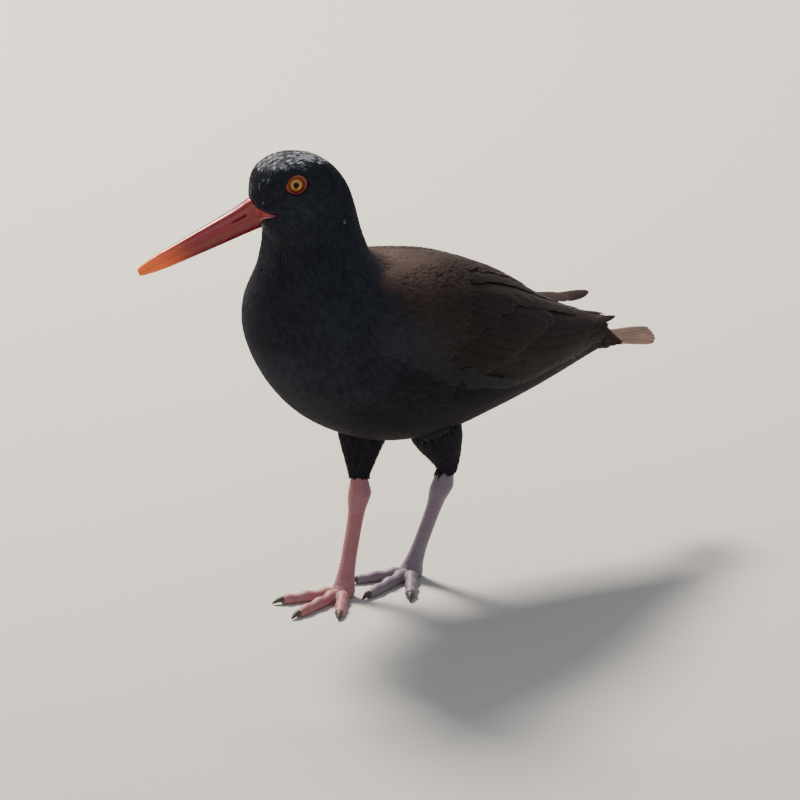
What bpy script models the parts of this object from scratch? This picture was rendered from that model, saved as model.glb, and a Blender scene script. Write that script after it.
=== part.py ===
"""A black oystercatcher at life size, stepping forward on its right foot with its head turned to its right.

Lengths are in millimetres until a mesh is made. X points forward, Y to the bird's left and Z up, and the
floor is at Z = 0. The trunk, from the root of the bill to the root of the tail, is one surface: a station
along it and an angle round it give a point, and the wings, eyes and thighs are placed on it.
"""

import math

import bmesh
import bpy
import numpy as np

MM = 0.001
GAP = 0.3  # between touching pieces

# Trunk stations: (back x, back z, front x, front z, half width, roundness). Front is the throat, breast or
# belly, and a roundness under 1 squares the section towards a box.
TRUNK = {
    "bill_root": (103.2, 243.0, 95.6, 224.0, 6.8, 0.9),
    "face": (101.9, 248.6, 93.6, 222.0, 11.2, 0.84),
    "forehead": (99.9, 255.2, 92.0, 219.4, 14.6, 0.8),
    "brow": (95.3, 261.0, 91.4, 216.3, 16.6, 0.78),
    "crown": (87.6, 264.8, 91.6, 213.0, 17.8, 0.78),
    "hind_crown": (77.2, 265.7, 92.8, 209.6, 18.9, 0.8),
    "occiput": (65.2, 262.9, 94.2, 205.9, 20.3, 0.83),
    "upper_nape": (54.9, 255.6, 95.7, 202.0, 22.2, 0.87),
    "nape": (48.0, 245.8, 97.0, 197.4, 24.6, 0.91),
    "upper_neck": (44.2, 234.6, 98.2, 191.8, 28.0, 0.95),
    "neck": (41.4, 223.0, 99.4, 184.8, 32.4, 0.98),
    "lower_neck": (38.3, 213.0, 100.4, 176.5, 37.4, 1.0),
    "neck_root": (35.0, 205.0, 100.6, 166.0, 42.4, 1.0),
    "shoulder": (28.0, 200.0, 98.6, 153.5, 46.8, 1.0),
    "mantle": (15.0, 196.0, 92.8, 139.5, 49.6, 1.0),
    "breast": (-2.0, 192.3, 82.8, 124.2, 51.0, 1.0),
    "upper_back": (-21.0, 187.2, 68.0, 109.8, 51.4, 1.0),
    "back": (-41.0, 179.0, 47.0, 97.2, 50.8, 1.0),
    "belly": (-60.0, 169.4, 22.0, 88.0, 48.8, 1.0),
    "loin": (-77.0, 158.6, -5.0, 85.5, 45.0, 1.0),
    "flank": (-92.0, 148.0, -34.0, 88.5, 39.8, 1.0),
    "rump": (-106.0, 139.6, -64.0, 92.0, 33.6, 1.0),
    "vent": (-118.0, 133.2, -93.0, 95.5, 26.4, 1.0),
    "tail_coverts": (-129.0, 128.0, -118.0, 98.8, 19.6, 1.0),
    "tail_root": (-139.0, 123.0, -139.0, 101.8, 14.4, 1.0),
    "wing_tips": (-157.0, 119.5, -157.0, 105.0, 9.5, 1.0),
}
NAMES = list(TRUNK)
ROWS = np.array(list(TRUNK.values()))
HEAD_END, NECK_END, TORSO_END = "upper_neck", "neck_root", "tail_root"
TORSO_RINGS = 24

# Turn of the head: about an upright axis in the neck, growing from the neck's root up to the chin
TURN = math.radians(-22.0)
TURN_AXIS_X = 70.0
TURN_FROM, TURN_TO = 176.0, 224.0

# Bill, measured from the feather edge on its ridge: (share of its length, ridge, mouth line, underside,
# half width)
BILL_LENGTH, BILL_PITCH = 72.5, math.radians(21.0)
BILL_ROOT_X, BILL_ROOT_Z = 103.2, 242.5
BILL = [
    (0.00, 0.0, -9.0, -18.2, 5.6),
    (0.07, -0.9, -9.0, -17.8, 5.2),
    (0.16, -1.8, -9.0, -17.4, 4.8),
    (0.30, -2.6, -9.0, -17.0, 4.2),
    (0.45, -3.3, -9.1, -16.4, 3.7),
    (0.62, -4.2, -9.3, -15.7, 3.2),
    (0.78, -5.0, -9.6, -14.9, 2.7),
    (0.88, -5.9, -9.8, -14.0, 2.2),
    (0.96, -7.1, -10.0, -12.9, 1.7),
    (1.00, -8.2, -10.1, -12.0, 1.3),
]
UPPER_BILL_SHAPE = [(0, 1), (0.45, 0.93), (0.78, 0.66), (0.93, 0.3), (1, 0)]  # shares of its width and height
LOWER_BILL_SHAPE = [(0, 1), (0.42, 0.92), (0.74, 0.66), (0.9, 0.3), (0.97, 0)]

# Nostrils: long slots in the upper bill, above the mouth line
NOSTRIL_FROM, NOSTRIL_TO, NOSTRIL_HEIGHT, NOSTRIL_DEPTH = 5.0, 19.0, 1.7, 1.6
NOSTRIL_UP, NOSTRIL_FALL = 2.7, 0.03

# Eyes: the ball, the ring of the lids and their socket, measured in the head's own turned frame
EYE_X, EYE_Z, EYE_SIDE, EYE_RADIUS = 80.9, 252.2, 11.3, 6.0
EYE_AHEAD, EYE_UPWARD = 0.16, 0.08  # tilt of its axis
EYE_OPENING, RING_LONG, RING_HIGH, RING_SEAT, RING_CORNER = 4.35, 6.1, 5.3, 2.6, 0.9
RING_PROFILE = [  # (share of the way from opening to outer edge, height, whether that's above the ball)
    (0.0, 0.1, True),
    (0.0, 0.6, True),
    (0.5, 5.5, False),
    (1.0, 4.7, False),
    (1.0, 0.1, True),
    (0.5, 0.1, True),
]

# Legs: (x, y, z) of the feather edge, ankle and ball of the foot
LEGS = {
    "left": {
        "hip": (-6.0, 17.0, 96.0),
        "hem": (-20.6, 12.9, 63.0),
        "ankle": (-18.4, 11.6, 52.5),
        "ball": (-5.2, 1.6),
    },
    "right": {
        "hip": (14.0, -16.0, 97.0),
        "hem": (21.4, -12.0, 62.5),
        "ankle": (22.8, -10.2, 52.5),
        "ball": (43.8, 0.2),
    },
}
TOES = {  # heading in degrees towards the bird's left, and length to the root of the claw
    "left": {"inner": (-22.0, 31.0), "middle": (13.0, 40.0), "outer": (47.0, 34.0)},
    "right": {"inner": (44.0, 31.0), "middle": (10.0, 39.0), "outer": (-24.0, 34.0)},
}
PALM_REACH, PALM_TOP, BALL_HEIGHT = 14.0, 13.0, 6.0
PALM = [(0.0, 4.6), (1.6, 6.1), (4.0, 6.6), (6.5, 6.2), (9.0, 5.4), (PALM_TOP - GAP, 4.9)]  # (height, radius)
TOE_HIGH, TOE_WIDE, TOE_PAD, TOE_END = 7.0, 3.7, 11.0, 1.8
CLAW_LENGTH, CLAW_WIDE, CLAW_HIGH, CLAW_LIFT = 7.0, 1.7, 3.3, 0.6
THIGH_RADII, THIGH_BEND = [15.0, 14.8, 13.8, 11.8, 9.7, 8.0, 6.6, 5.8], 0.6
TIBIA_RADII = [4.8, 5.2, 6.5, 6.9]  # from the hem of the feathers to the ankle
TARSUS = [(0.09, 6.3), (0.2, 5.2), (0.36, 4.7), (0.55, 4.6), (0.75, 4.6), (0.9, 4.8), (1.0, 5.2)]
SHANK_FLAT = 0.86

# Wings: depth of the folded wing over the torso, and its outline on the trunk by station and angle
WING_DEPTH, WING_EDGE, WING_ROOM = 5.0, 1.4, 0.9
WING_TIP_DRIFT = {1: (8.2, 6.6, 2.5), -1: (-6.0, 20.0, 5.0)}  # of each wing's tip: forward, out and up
WING_TIP_ROLL = {1: 0.0, -1: 5.5}  # rise of the tip's lower edge over its upper
WING_FROM, WING_TO = 12.4, 25.0
WING_TOP = [(0.0, 48.0), (0.05, 34.0), (0.15, 24.0), (0.35, 14.0), (0.6, 5.0), (0.85, 5.0), (1.0, 22.0)]
WING_LOW = [(0.0, 72.0), (0.05, 86.0), (0.15, 97.0), (0.35, 104.0), (0.6, 100.0), (0.85, 84.0), (1.0, 60.0)]

# Vanes: (share of the length, share of the half width), then thickness, height of the shaft's ridge and the
# depth that roots lie below the wing's outer form
VANE_SHAPE = [(0.0, 0.6), (0.45, 0.95), (0.8, 0.95), (0.95, 0.58), (1.0, 0.16)]
VANE_THICK, VANE_RIDGE, VANE_SUNK, VANE_BED = 0.8, 0.25, 2.2, 0.7
CORE_SUNK = 1.1  # of the wing's core under its vanes
CORE_END, WING_FREE = 0.93, 0.86  # shares of the wing where the core ends, and past which vanes are free

# Tiers of a wing's vanes from the lowest: how many, then for the first and the last of them the root's
# (u, v), the tip's (u, v), the half width and the tip's lift, and last how far a vane's lower edge stands
# over its upper
WING_TIERS = {
    "primaries": (5, (0.60, 0.84), (0.66, 0.46), (1.0, 0.62), (0.88, 0.34), 5.4, 5.0, 0.3, 1.0, 0.3),
    "secondaries": (4, (0.38, 0.86), (0.58, 0.76), (0.62, 0.96), (0.84, 0.88), 8.5, 7.0, 0.4, 0.6, 0.3),
    "tertials": (4, (0.46, 0.64), (0.52, 0.22), (0.80, 0.74), (0.91, 0.26), 10.0, 8.0, 0.8, 1.4, 0.5),
    "greater_coverts": (6, (0.17, 0.88), (0.40, 0.34), (0.40, 0.94), (0.62, 0.44), 10.0, 9.5, 0.6, 0.9, 0.4),
    "median_coverts": (5, (0.06, 0.78), (0.25, 0.30), (0.25, 0.86), (0.45, 0.36), 10.0, 9.5, 0.8, 1.1, 0.4),
    "scapulars": (4, (0.14, 0.24), (0.46, 0.10), (0.38, 0.26), (0.72, 0.09), 10.0, 8.0, 1.0, 0.8, 0.4),
}

# Tail: root and tip of the middle pair, and the spread
TAIL_ROOT = (-139.3, 110.5)
TAIL_TIP = (-183.0, 102.0)
TAIL_HALF_ROOT, TAIL_HALF_TIP, TAIL_ARCH, TAIL_ROUND = 13.8, 16.0, 2.4, 0.22
TAIL_OVER, TAIL_UNDER = 11.5, 6.5  # rise of its root over the feathers, and fall below them
TAIL_CORE_END, TAIL_PAIRS, TAIL_VANE_HALF = 0.55, 6, 4.2


def station(name):
    """The place of a named station along the trunk."""
    return float(NAMES.index(name))


def through(rows, s):
    """The row at s, counted in rows, on a smooth curve through all of them."""
    rows = np.asarray(rows, dtype=float)
    i = int(min(max(math.floor(s), 0), len(rows) - 2))
    t = s - i
    before, here = rows[max(i - 1, 0)], rows[i]
    after, beyond = rows[i + 1], rows[min(i + 2, len(rows) - 1)]
    return 0.5 * (
        2 * here
        + (after - before) * t
        + (2 * before - 5 * here + 4 * after - beyond) * t**2
        + (3 * here - before - 3 * after + beyond) * t**3
    )


def along(pairs, u):
    """The value at u on straight lines through (u, value) pairs, rounded at each of them."""
    places, values = zip(*pairs)
    spread = np.linspace(-0.04, 0.04, 5)
    return float(np.mean(np.interp(u + spread, places, values)))


def step(x, low, high):
    """Rises smoothly from 0 at low to 1 at high."""
    t = min(max((x - low) / (high - low), 0.0), 1.0)
    return t * t * (3 - 2 * t)


def turned(x, y, z, share=1.0):
    """A point of the straight bird, carried round by the turn of its head."""
    angle = TURN * share
    c, s = math.cos(angle), math.sin(angle)
    dx = x - TURN_AXIS_X
    return np.array((TURN_AXIS_X + c * dx - s * y, s * dx + c * y, z))


def outline(s, angle):
    """The bird's outer form at station s: at angle 0 its back, at 90 its left side and at 180 its front."""
    back_x, back_z, front_x, front_z, half, roundness = through(ROWS, s)
    a = math.radians(angle)
    rise = math.copysign(abs(math.cos(a)) ** roundness, math.cos(a))
    side = math.copysign(abs(math.sin(a)) ** roundness, math.sin(a))
    x = (back_x + front_x) / 2 + (back_x - front_x) / 2 * rise
    z = (back_z + front_z) / 2 + (back_z - front_z) / 2 * rise
    return turned(x, half * side, z, step(z, TURN_FROM, TURN_TO))


def outward(s, angle):
    """The unit normal of the outer form, pointing out."""
    ds, da = 0.05, 1.0
    flow = outline(s + ds, angle) - outline(s - ds, angle)
    around = outline(s, angle + da) - outline(s, angle - da)
    normal = np.cross(around, flow)
    return normal / np.linalg.norm(normal)


def wing_place(u, v):
    """Station and angle of a place on the left wing: u from its bend to its tip, v from top to bottom."""
    s = WING_FROM + (WING_TO - WING_FROM) * u
    top, low = along(WING_TOP, u), along(WING_LOW, u)
    return s, top + (low - top) * v


def wing_hollow(s, angle):
    """Depth of the hollow in the torso's side that the folded wing lies in."""
    u = (s - WING_FROM) / (WING_TO - WING_FROM)
    top, low = along(WING_TOP, max(u, 0.0)), along(WING_LOW, max(u, 0.0))
    aside = abs((angle + 180) % 360 - 180)
    inside = min(aside - top, low - aside)
    return WING_DEPTH * step(u, -0.06, 0.06) * step(inside, -9.0, 6.0)


def torso_skin(s, angle):
    """The torso under the wings."""
    return outline(s, angle) - outward(s, angle) * wing_hollow(s, angle)


def on_wing(u, v, lift, side=1):
    """A point of a folded wing, lift above the bird's outer form."""
    s, angle = wing_place(u, v)
    drift = (max(u - 0.55, 0.0) / 0.45) ** 1.6
    ahead, out, up = np.array(WING_TIP_DRIFT[side]) * drift
    up += WING_TIP_ROLL[side] * v * drift
    return outline(s, side * angle) + outward(s, side * angle) * lift + np.array((ahead, side * out, up))


def new_object(name, bm, material):
    """Makes one object of the model from a bmesh in millimetres."""
    bmesh.ops.recalc_face_normals(bm, faces=bm.faces)
    bmesh.ops.scale(bm, vec=(MM, MM, MM), verts=bm.verts)
    mesh = bpy.data.meshes.new(name)
    bm.to_mesh(mesh)
    bm.free()
    mesh.shade_smooth()
    mesh.set_sharp_from_angle(angle=math.radians(40))
    mesh.materials.append(material)
    piece = bpy.data.objects.new(name, mesh)
    MODEL.objects.link(piece)
    piece.parent = MIDDLE
    return piece


def loft(rings):
    """A closed form through rings of points, each with as many points, with a fan over both ends."""
    bm = bmesh.new()
    loops = [[bm.verts.new(p) for p in ring] for ring in rings]
    for here, after in zip(loops, loops[1:]):
        for i in range(len(here)):
            j = (i + 1) % len(here)
            bm.faces.new((here[i], here[j], after[j]))
            bm.faces.new((here[i], after[j], after[i]))
    for ring, loop in ((rings[0], loops[0]), (rings[-1], loops[-1])):
        middle = bm.verts.new(np.mean(ring, axis=0))
        for i in range(len(loop)):
            bm.faces.new((loop[i], loop[(i + 1) % len(loop)], middle))
    return bm


def plate(over, under):
    """A thin closed form between two grids of points, split into triangles alike on both faces."""
    bm = bmesh.new()
    top = [[bm.verts.new(p) for p in row] for row in over]
    low = [[bm.verts.new(p) for p in row] for row in under]
    rows, columns = len(top), len(top[0])
    for i in range(rows - 1):
        for j in range(columns - 1):
            for grid in (top, low):
                a, b, c, d = grid[i][j], grid[i][j + 1], grid[i + 1][j + 1], grid[i + 1][j]
                bm.faces.new((a, b, c))
                bm.faces.new((a, c, d))
    rim = [(i, 0) for i in range(rows)] + [(rows - 1, j) for j in range(1, columns)]
    rim += [(i, columns - 1) for i in range(rows - 2, -1, -1)] + [(0, j) for j in range(columns - 2, 0, -1)]
    for (i, j), (k, m) in zip(rim, rim[1:] + rim[:1]):
        bm.faces.new((top[i][j], top[k][m], low[k][m], low[i][j]))
    return bm


def evaluated(piece):
    """A mesh object with its modifiers applied, in place of the old one."""
    mesh = bpy.data.meshes.new_from_object(piece.evaluated_get(bpy.context.evaluated_depsgraph_get()))
    piece.modifiers.clear()
    piece.data = mesh
    return piece


def largest_only(piece):
    """Drops every closed surface of a mesh but its largest."""
    bm = bmesh.new()
    bm.from_mesh(piece.data)
    bm.faces.ensure_lookup_table()
    left, groups = set(bm.faces), []
    while left:
        group, edge = set(), [left.pop()]
        while edge:
            face = edge.pop()
            group.add(face)
            for near in (f for e in face.edges for f in e.link_faces if f in left):
                left.discard(near)
                edge.append(near)
        groups.append(group)
    groups.sort(key=lambda group: sum(f.calc_area() for f in group))
    spare = [f for group in groups[:-1] for f in group]
    bmesh.ops.delete(bm, geom=spare, context="FACES")
    bm.to_mesh(piece.data)
    bm.free()


def combine(piece, others, operation, solver="EXACT"):
    """Applies one Boolean of a piece with a collection of others, which are then removed."""
    group = bpy.data.collections.new(piece.name + "_group")
    bpy.context.scene.collection.children.link(group)
    for other in others:
        MODEL.objects.unlink(other)
        group.objects.link(other)
        other.hide_render = True
        other.display_type = "WIRE"
    change = piece.modifiers.new(operation.lower(), "BOOLEAN")
    change.operation, change.solver = operation, solver
    change.operand_type, change.collection = "COLLECTION", group
    bpy.context.view_layer.update()
    evaluated(piece)
    for other in others:
        bpy.data.objects.remove(other)
    bpy.data.collections.remove(group)
    largest_only(piece)
    return piece


def finish(name, colour, roughness):
    """A Principled material. The colour is an sRGB hex value."""
    material = bpy.data.materials.new(name)
    material.use_nodes = True
    shader = material.node_tree.nodes["Principled BSDF"]
    parts = [int(colour[i : i + 2], 16) / 255 for i in (0, 2, 4)]
    linear = [c / 12.92 if c <= 0.04045 else ((c + 0.055) / 1.055) ** 2.4 for c in parts]
    shader.inputs["Base Color"].default_value = (*linear, 1.0)
    shader.inputs["Roughness"].default_value = roughness
    shader.inputs["Metallic"].default_value = 0.0
    return material


def trunk_length(name, first, last, rings, skin, material, short=GAP / 2, points=28):
    """One length of the trunk, ending half a gap short of each cut plane."""
    s0, s1 = station(first), station(last)
    loops = []
    for s in np.linspace(s0, s1, rings):
        ring = [skin(s, 360 * k / points) for k in range(points)]
        if s in (s0, s1):
            middle, inner = np.mean(ring, axis=0), s0 + s1 - s
            across = np.cross(ring[0] - middle, ring[points // 4] - middle)
            across /= np.linalg.norm(across)
            inward = np.mean([skin(s + (inner - s) * 0.05, 360 * k / points) for k in range(points)], axis=0)
            across *= math.copysign(1.0, float(np.dot(across, inward - middle)))
            ring = [p + across * short for p in ring]
        loops.append(ring)
    return new_object(name, loft(loops), material)


def head_point(x, side, z):
    """A point fixed in the turned head."""
    return turned(x, side, z, 1.0)


def bill_point(out, up, side):
    """A point of the bill: out along it from the feather edge, up from its ridge's start, and to the left."""
    c, s = math.cos(BILL_PITCH), math.sin(BILL_PITCH)
    return head_point(BILL_ROOT_X + c * out + s * up, side, BILL_ROOT_Z - s * out + c * up)


def bill_half(name, upper, material, rings=15):
    """The upper or lower half of the bill, with half a gap along the mouth line."""
    table = np.array(BILL)
    loops = []
    for q in np.linspace(0, len(table) - 1, rings):
        share, ridge, mouth, under, half = through(table, q)
        out = share * BILL_LENGTH + GAP
        edge, height = (mouth + GAP / 2, ridge - mouth) if upper else (mouth - GAP / 2, under - mouth)
        shape = UPPER_BILL_SHAPE if upper else LOWER_BILL_SHAPE
        left = [(half * w, edge + height * h) for w, h in shape]
        ring = left + [(-y, up) for y, up in reversed(left[1:])]
        loops.append([bill_point(out, up, y) for y, up in ring])
    return new_object(name, loft(loops), material)


def nostril_cutter(side, material):
    """A long slot to cut into one side of the upper bill."""
    mouth = BILL[2][2]
    bm = bmesh.new()
    bmesh.ops.create_uvsphere(bm, u_segments=12, v_segments=8, radius=1.0)
    half = (NOSTRIL_TO - NOSTRIL_FROM) / 2
    for vert in bm.verts:
        out = NOSTRIL_FROM + half + vert.co.x * half
        up = mouth + NOSTRIL_UP + vert.co.z * NOSTRIL_HEIGHT / 2 - (out - NOSTRIL_FROM) * NOSTRIL_FALL
        y = side * (BILL[2][4] + vert.co.y * NOSTRIL_DEPTH)
        vert.co = bill_point(out, up, y)
    return new_object(f"nostril_{side}", bm, material)


def eye_frame(side):
    """Middle of an eye, and its axes: forward, up and out of the head, the last tilted forward and up."""
    middle = head_point(EYE_X, side * EYE_SIDE, EYE_Z)
    out = turned(TURN_AXIS_X + EYE_AHEAD, side, EYE_UPWARD) - turned(TURN_AXIS_X, 0, 0)
    out /= np.linalg.norm(out)
    ahead = bill_point(1, 0, 0) - bill_point(0, 0, 0)
    ahead -= out * float(np.dot(ahead, out))
    ahead /= np.linalg.norm(ahead)
    up = np.cross(ahead, out) * side
    return middle, ahead, up, out


def ball(name, middle, radius, material, segments=16, rings=10):
    """A sphere."""
    bm = bmesh.new()
    bmesh.ops.create_uvsphere(bm, u_segments=segments, v_segments=rings, radius=radius)
    bmesh.ops.translate(bm, vec=middle, verts=bm.verts)
    return new_object(name, bm, material)


def ring_reach(turn):
    """Half size of the eye ring's outer edge at an angle from the bill's direction, an oval with a corner."""
    oval = RING_LONG * RING_HIGH / math.hypot(RING_HIGH * math.cos(turn), RING_LONG * math.sin(turn))
    return oval + RING_CORNER * max(math.cos(turn), 0.0) ** 10


def eye_ring(name, side, material, segments=22):
    """The ring of bare lids round an eye."""
    middle, ahead, up, out = eye_frame(side)
    bm = bmesh.new()
    loops = []
    for k in range(segments):
        turn = 2 * math.pi * k / segments
        way = ahead * math.cos(turn) + up * math.sin(turn)
        reach = ring_reach(turn)
        loops.append([])
        for share, height, on_ball in RING_PROFILE:
            width = EYE_OPENING + (reach - EYE_OPENING) * share
            if on_ball:
                height += math.sqrt(max((EYE_RADIUS + GAP) ** 2 - width**2, RING_SEAT**2))
            loops[-1].append(bm.verts.new(middle + way * width + out * height))
    for k, here in enumerate(loops):
        after = loops[(k + 1) % segments]
        for i in range(len(here)):
            j = (i + 1) % len(here)
            bm.faces.new((here[i], here[j], after[j], after[i]))
    return new_object(name, bm, material)


def socket_cutters(side, material):
    """What is cut from the head for an eye and its ring."""
    middle, ahead, up, out = eye_frame(side)
    hole = ball(f"socket_{side}", middle, EYE_RADIUS + GAP, material)
    rings = []
    for height in (2.0, 12.0):
        turns = [2 * math.pi * k / 22 for k in range(22)]
        rings.append(
            [
                middle + (ahead * math.cos(t) + up * math.sin(t)) * (ring_reach(t) + GAP) + out * height
                for t in turns
            ]
        )
    return [hole, new_object(f"rim_{side}", loft(rings), material)]


def tube(path, radii, first, last, points=12, flat=1.0):
    """A closed form along a path, its rings square to the path and its end rings square to first and last."""
    loops = []
    for i, (p, r) in enumerate(zip(path, radii)):
        way = path[min(i + 1, len(path) - 1)] - path[max(i - 1, 0)]
        way = first if i == 0 else last if i == len(path) - 1 else way
        way = way / np.linalg.norm(way)
        wide = np.cross(way, (1.0, 0.0, 0.0))
        wide /= np.linalg.norm(wide)
        deep = np.cross(wide, way)
        turns = [2 * math.pi * k / points for k in range(points)]
        loops.append([p + wide * r * flat * math.cos(t) + deep * r * math.sin(t) for t in turns])
    return loft(loops)


def leg_points(side):
    """Hip, hem and ankle of a leg, and the place where its shank meets the palm."""
    hip, hem, ankle = (np.array(LEGS[side][name]) for name in ("hip", "hem", "ankle"))
    ball = np.array((*LEGS[side]["ball"], BALL_HEIGHT))
    return hip, hem, ankle, ball + (ankle - ball) * (PALM_TOP - BALL_HEIGHT) / (ankle[2] - BALL_HEIGHT)


def thigh(side, material):
    """The feathered thigh, bending from inside the belly down to its hem over the bare leg."""
    hip, hem, ankle, _ = leg_points(side)
    bend = hem + (hem - ankle) * THIGH_BEND
    shares = np.linspace(0, 1, len(THIGH_RADII))
    path = [hip * (1 - q) ** 2 + bend * 2 * q * (1 - q) + hem * q**2 for q in shares]
    return new_object(f"thigh_{side}", tube(path, THIGH_RADII, bend - hip, ankle - hem, points=14), material)


def swollen_torso(material):
    """The torso, a gap larger all round, to cut the pieces that lie on it by."""

    def room(s, angle):
        return torso_skin(s, angle) + outward(s, angle) * GAP

    return trunk_length("torso_room", NECK_END, TORSO_END, TORSO_RINGS, room, material, short=-GAP / 2)


def shank(side, material):
    """Bare leg: a short length of tibia, the ankle and the long tarsus."""
    _, hem, ankle, foot = leg_points(side)
    down = (ankle - hem) / np.linalg.norm(ankle - hem)
    start = hem + down * GAP
    path = [start, start + down * 3.0, ankle - down * 3.2, ankle]
    path += [ankle + (foot - ankle) * q for q, _ in TARSUS]
    radii = TIBIA_RADII + [r for _, r in TARSUS]
    bm = tube(path, radii, down, np.array((0, 0, -1.0)), flat=SHANK_FLAT)
    return new_object(f"shank_{side}", bm, material)


def toe_ring(start, heading, out, wide, high, lift=0.0, points=10):
    """A section across a toe: rounded above and flat underneath, on the floor unless lifted."""
    c, s = math.cos(heading), math.sin(heading)
    ring = []
    for k in range(points):
        t = 2 * math.pi * (k + 0.5) / points
        y, z = wide * math.cos(t), high / 2 + high / 2 * math.sin(t)
        z = max(z, high * 0.1) - high * 0.1
        z *= 1 / 0.9
        ring.append((start[0] + c * out - s * y, start[1] + s * out + c * y, z + lift))
    return ring


def toe_size(q, length):
    """Half width and height of a toe at a share of its length, with a pad at each of its bones."""
    swell = 1 + 0.08 * math.cos(2 * math.pi * q * length / TOE_PAD)
    return TOE_WIDE * (1 - 0.22 * q) * swell, TOE_HIGH * (1 - 0.3 * q) * swell


def toe(side, name, material):
    """A toe from the palm's edge to the root of its claw."""
    heading, length = TOES[side][name]
    start, heading = LEGS[side]["ball"], math.radians(heading)
    loops = []
    for q in np.linspace(PALM_REACH / length, 1.0, 9):
        wide, high = toe_size(q, length)
        loops.append(toe_ring(start, heading, q * length + GAP, wide, high))
    wide, high = toe_size(1.0, length)
    loops.append(toe_ring(start, heading, length + TOE_END, wide * 0.72, high * 0.8))
    return new_object(f"toe_{side}_{name}", loft(loops), material)


def claw(side, name, material):
    """A curved claw on the end of a toe."""
    heading, length = TOES[side][name]
    heading = math.radians(heading)
    start = LEGS[side]["ball"]
    loops = []
    for q in np.linspace(0, 1, 6):
        out = length + TOE_END + GAP + CLAW_LENGTH * q
        wide = CLAW_WIDE * (1 - q) ** 0.8 + 0.25
        high = CLAW_HIGH * (1 - q) ** 0.7 + 0.4
        lift = CLAW_LIFT + 0.9 * math.sin(math.pi * q) * (1 - q)
        loops.append(toe_ring(start, heading, out, wide, high, lift, points=8))
    return new_object(f"claw_{side}_{name}", loft(loops), material)


def palm(side, material):
    """Ball of the foot with the roots of the three toes and the web between the outer two."""
    x, y = LEGS[side]["ball"]
    lean = (leg_points(side)[3] - np.array((x, y, BALL_HEIGHT))) / (PALM_TOP - BALL_HEIGHT)
    loops = []
    for z, r in PALM:
        turns = [2 * math.pi * k / 14 for k in range(14)]
        middle = np.array((x, y, z)) + np.array((lean[0], lean[1], 0)) * max(z - BALL_HEIGHT, 0)
        loops.append([middle + np.array((r * math.cos(t), r * math.sin(t), 0)) for t in turns])
    base = new_object(f"palm_{side}", loft(loops), material)
    roots = []
    for name, (heading, length) in TOES[side].items():
        rings = []
        for out in (1.0, 5.0, 9.0, PALM_REACH):
            wide, high = toe_size(out / length, length)
            rings.append(toe_ring((x, y), math.radians(heading), out, wide, high))
        roots.append(new_object(f"root_{name}", loft(rings), material))
    return combine(base, roots, "UNION")


def vane(name, place, root, tip, half, lift, tilt, free, material):
    """A feather's vane laid on a surface: place turns (u, v, lift) into a point, and root and tip are (u, v).

    It's thick enough to stay bedded in what lies under it up to free, a share of u, and thin past that.
    """
    over, under = [], []
    for q, share in VANE_SHAPE:
        u, v = np.array(root) * (1 - q) + np.array(tip) * q
        v_per_mm = 0.02 / np.linalg.norm(place(u, v + 0.01, 0.0) - place(u, v - 0.01, 0.0))
        level = lift * q - VANE_SUNK * (1 - q) ** 2
        heights = [(x, level + VANE_RIDGE * (1 - abs(x)) + tilt * x) for x in (-1, 0, 1)]
        bedded = 1 - step(u, free - 0.12, free)
        over.append([place(u, v + x * half * share * v_per_mm, height) for x, height in heights])
        under.append([])
        for x, height in heights:
            low = height - VANE_THICK
            low += (min(-CORE_SUNK - VANE_BED, low) - low) * bedded
            under[-1].append(place(u, v + x * half * share * v_per_mm, low))
    return new_object(name, plate(over, under), material)


def wing_vanes(side, material):
    """Every vane of one folded wing."""

    def place(u, v, lift):
        return on_wing(u, v, lift, side)

    vanes = []
    for name, tier in WING_TIERS.items():
        count, root_0, root_1, tip_0, tip_1, half_0, half_1, lift_0, lift_1, tilt = tier
        for k, share in enumerate(np.linspace(0, 1, count)):
            root = np.array(root_0) * (1 - share) + np.array(root_1) * share
            tip = np.array(tip_0) * (1 - share) + np.array(tip_1) * share
            half, lift = half_0 + (half_1 - half_0) * share, lift_0 + (lift_1 - lift_0) * share
            vanes.append(vane(f"{name}_{k}", place, root, tip, half, lift, tilt, WING_FREE, material))
    return vanes


def wing(side, material):
    """The folded wing, lying in the hollow of the torso's side: a core with tiers of vanes rooted in it."""
    sign = 1 if side == "left" else -1
    over, under = [], []
    for u in np.linspace(0, CORE_END, 13):
        over.append([])
        under.append([])
        for v in (0.0, 0.1, 0.3, 0.5, 0.7, 0.9, 1.0):
            edge = min(step(v, -0.02, 0.16), step(v, 1.02, 0.84))
            end = min(step(u, -0.03, 0.12), 1 - 0.8 * step(u, 0.75, CORE_END))
            depth = wing_hollow(*wing_place(u, v))
            high = (WING_EDGE - depth) * (1 - edge * end) - CORE_SUNK * step(u, 0.02, 0.3) * edge
            thick = WING_EDGE + WING_ROOM + (depth - WING_EDGE) * edge * (1 - step(u, 0.7, 0.95))
            over[-1].append(on_wing(u, v, high, sign))
            under[-1].append(on_wing(u, v, high - thick, sign))
    body = new_object(f"wing_{side}", plate(over, under), material)
    combine(body, wing_vanes(sign, material), "UNION")
    return combine(body, [swollen_torso(material)], "DIFFERENCE")


def tail_place(q, w):
    """A place on the tail fan: q from its root to the tip, w from the right edge to the left."""
    half = TAIL_HALF_ROOT + (TAIL_HALF_TIP - TAIL_HALF_ROOT) * q
    reach = q * (1 - TAIL_ROUND * abs(w) ** 2.5)
    x = TAIL_ROOT[0] + (TAIL_TIP[0] - TAIL_ROOT[0]) * reach
    z = TAIL_ROOT[1] + (TAIL_TIP[1] - TAIL_ROOT[1]) * reach - TAIL_ARCH * w * w
    return np.array((x, half * w, z))


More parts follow.
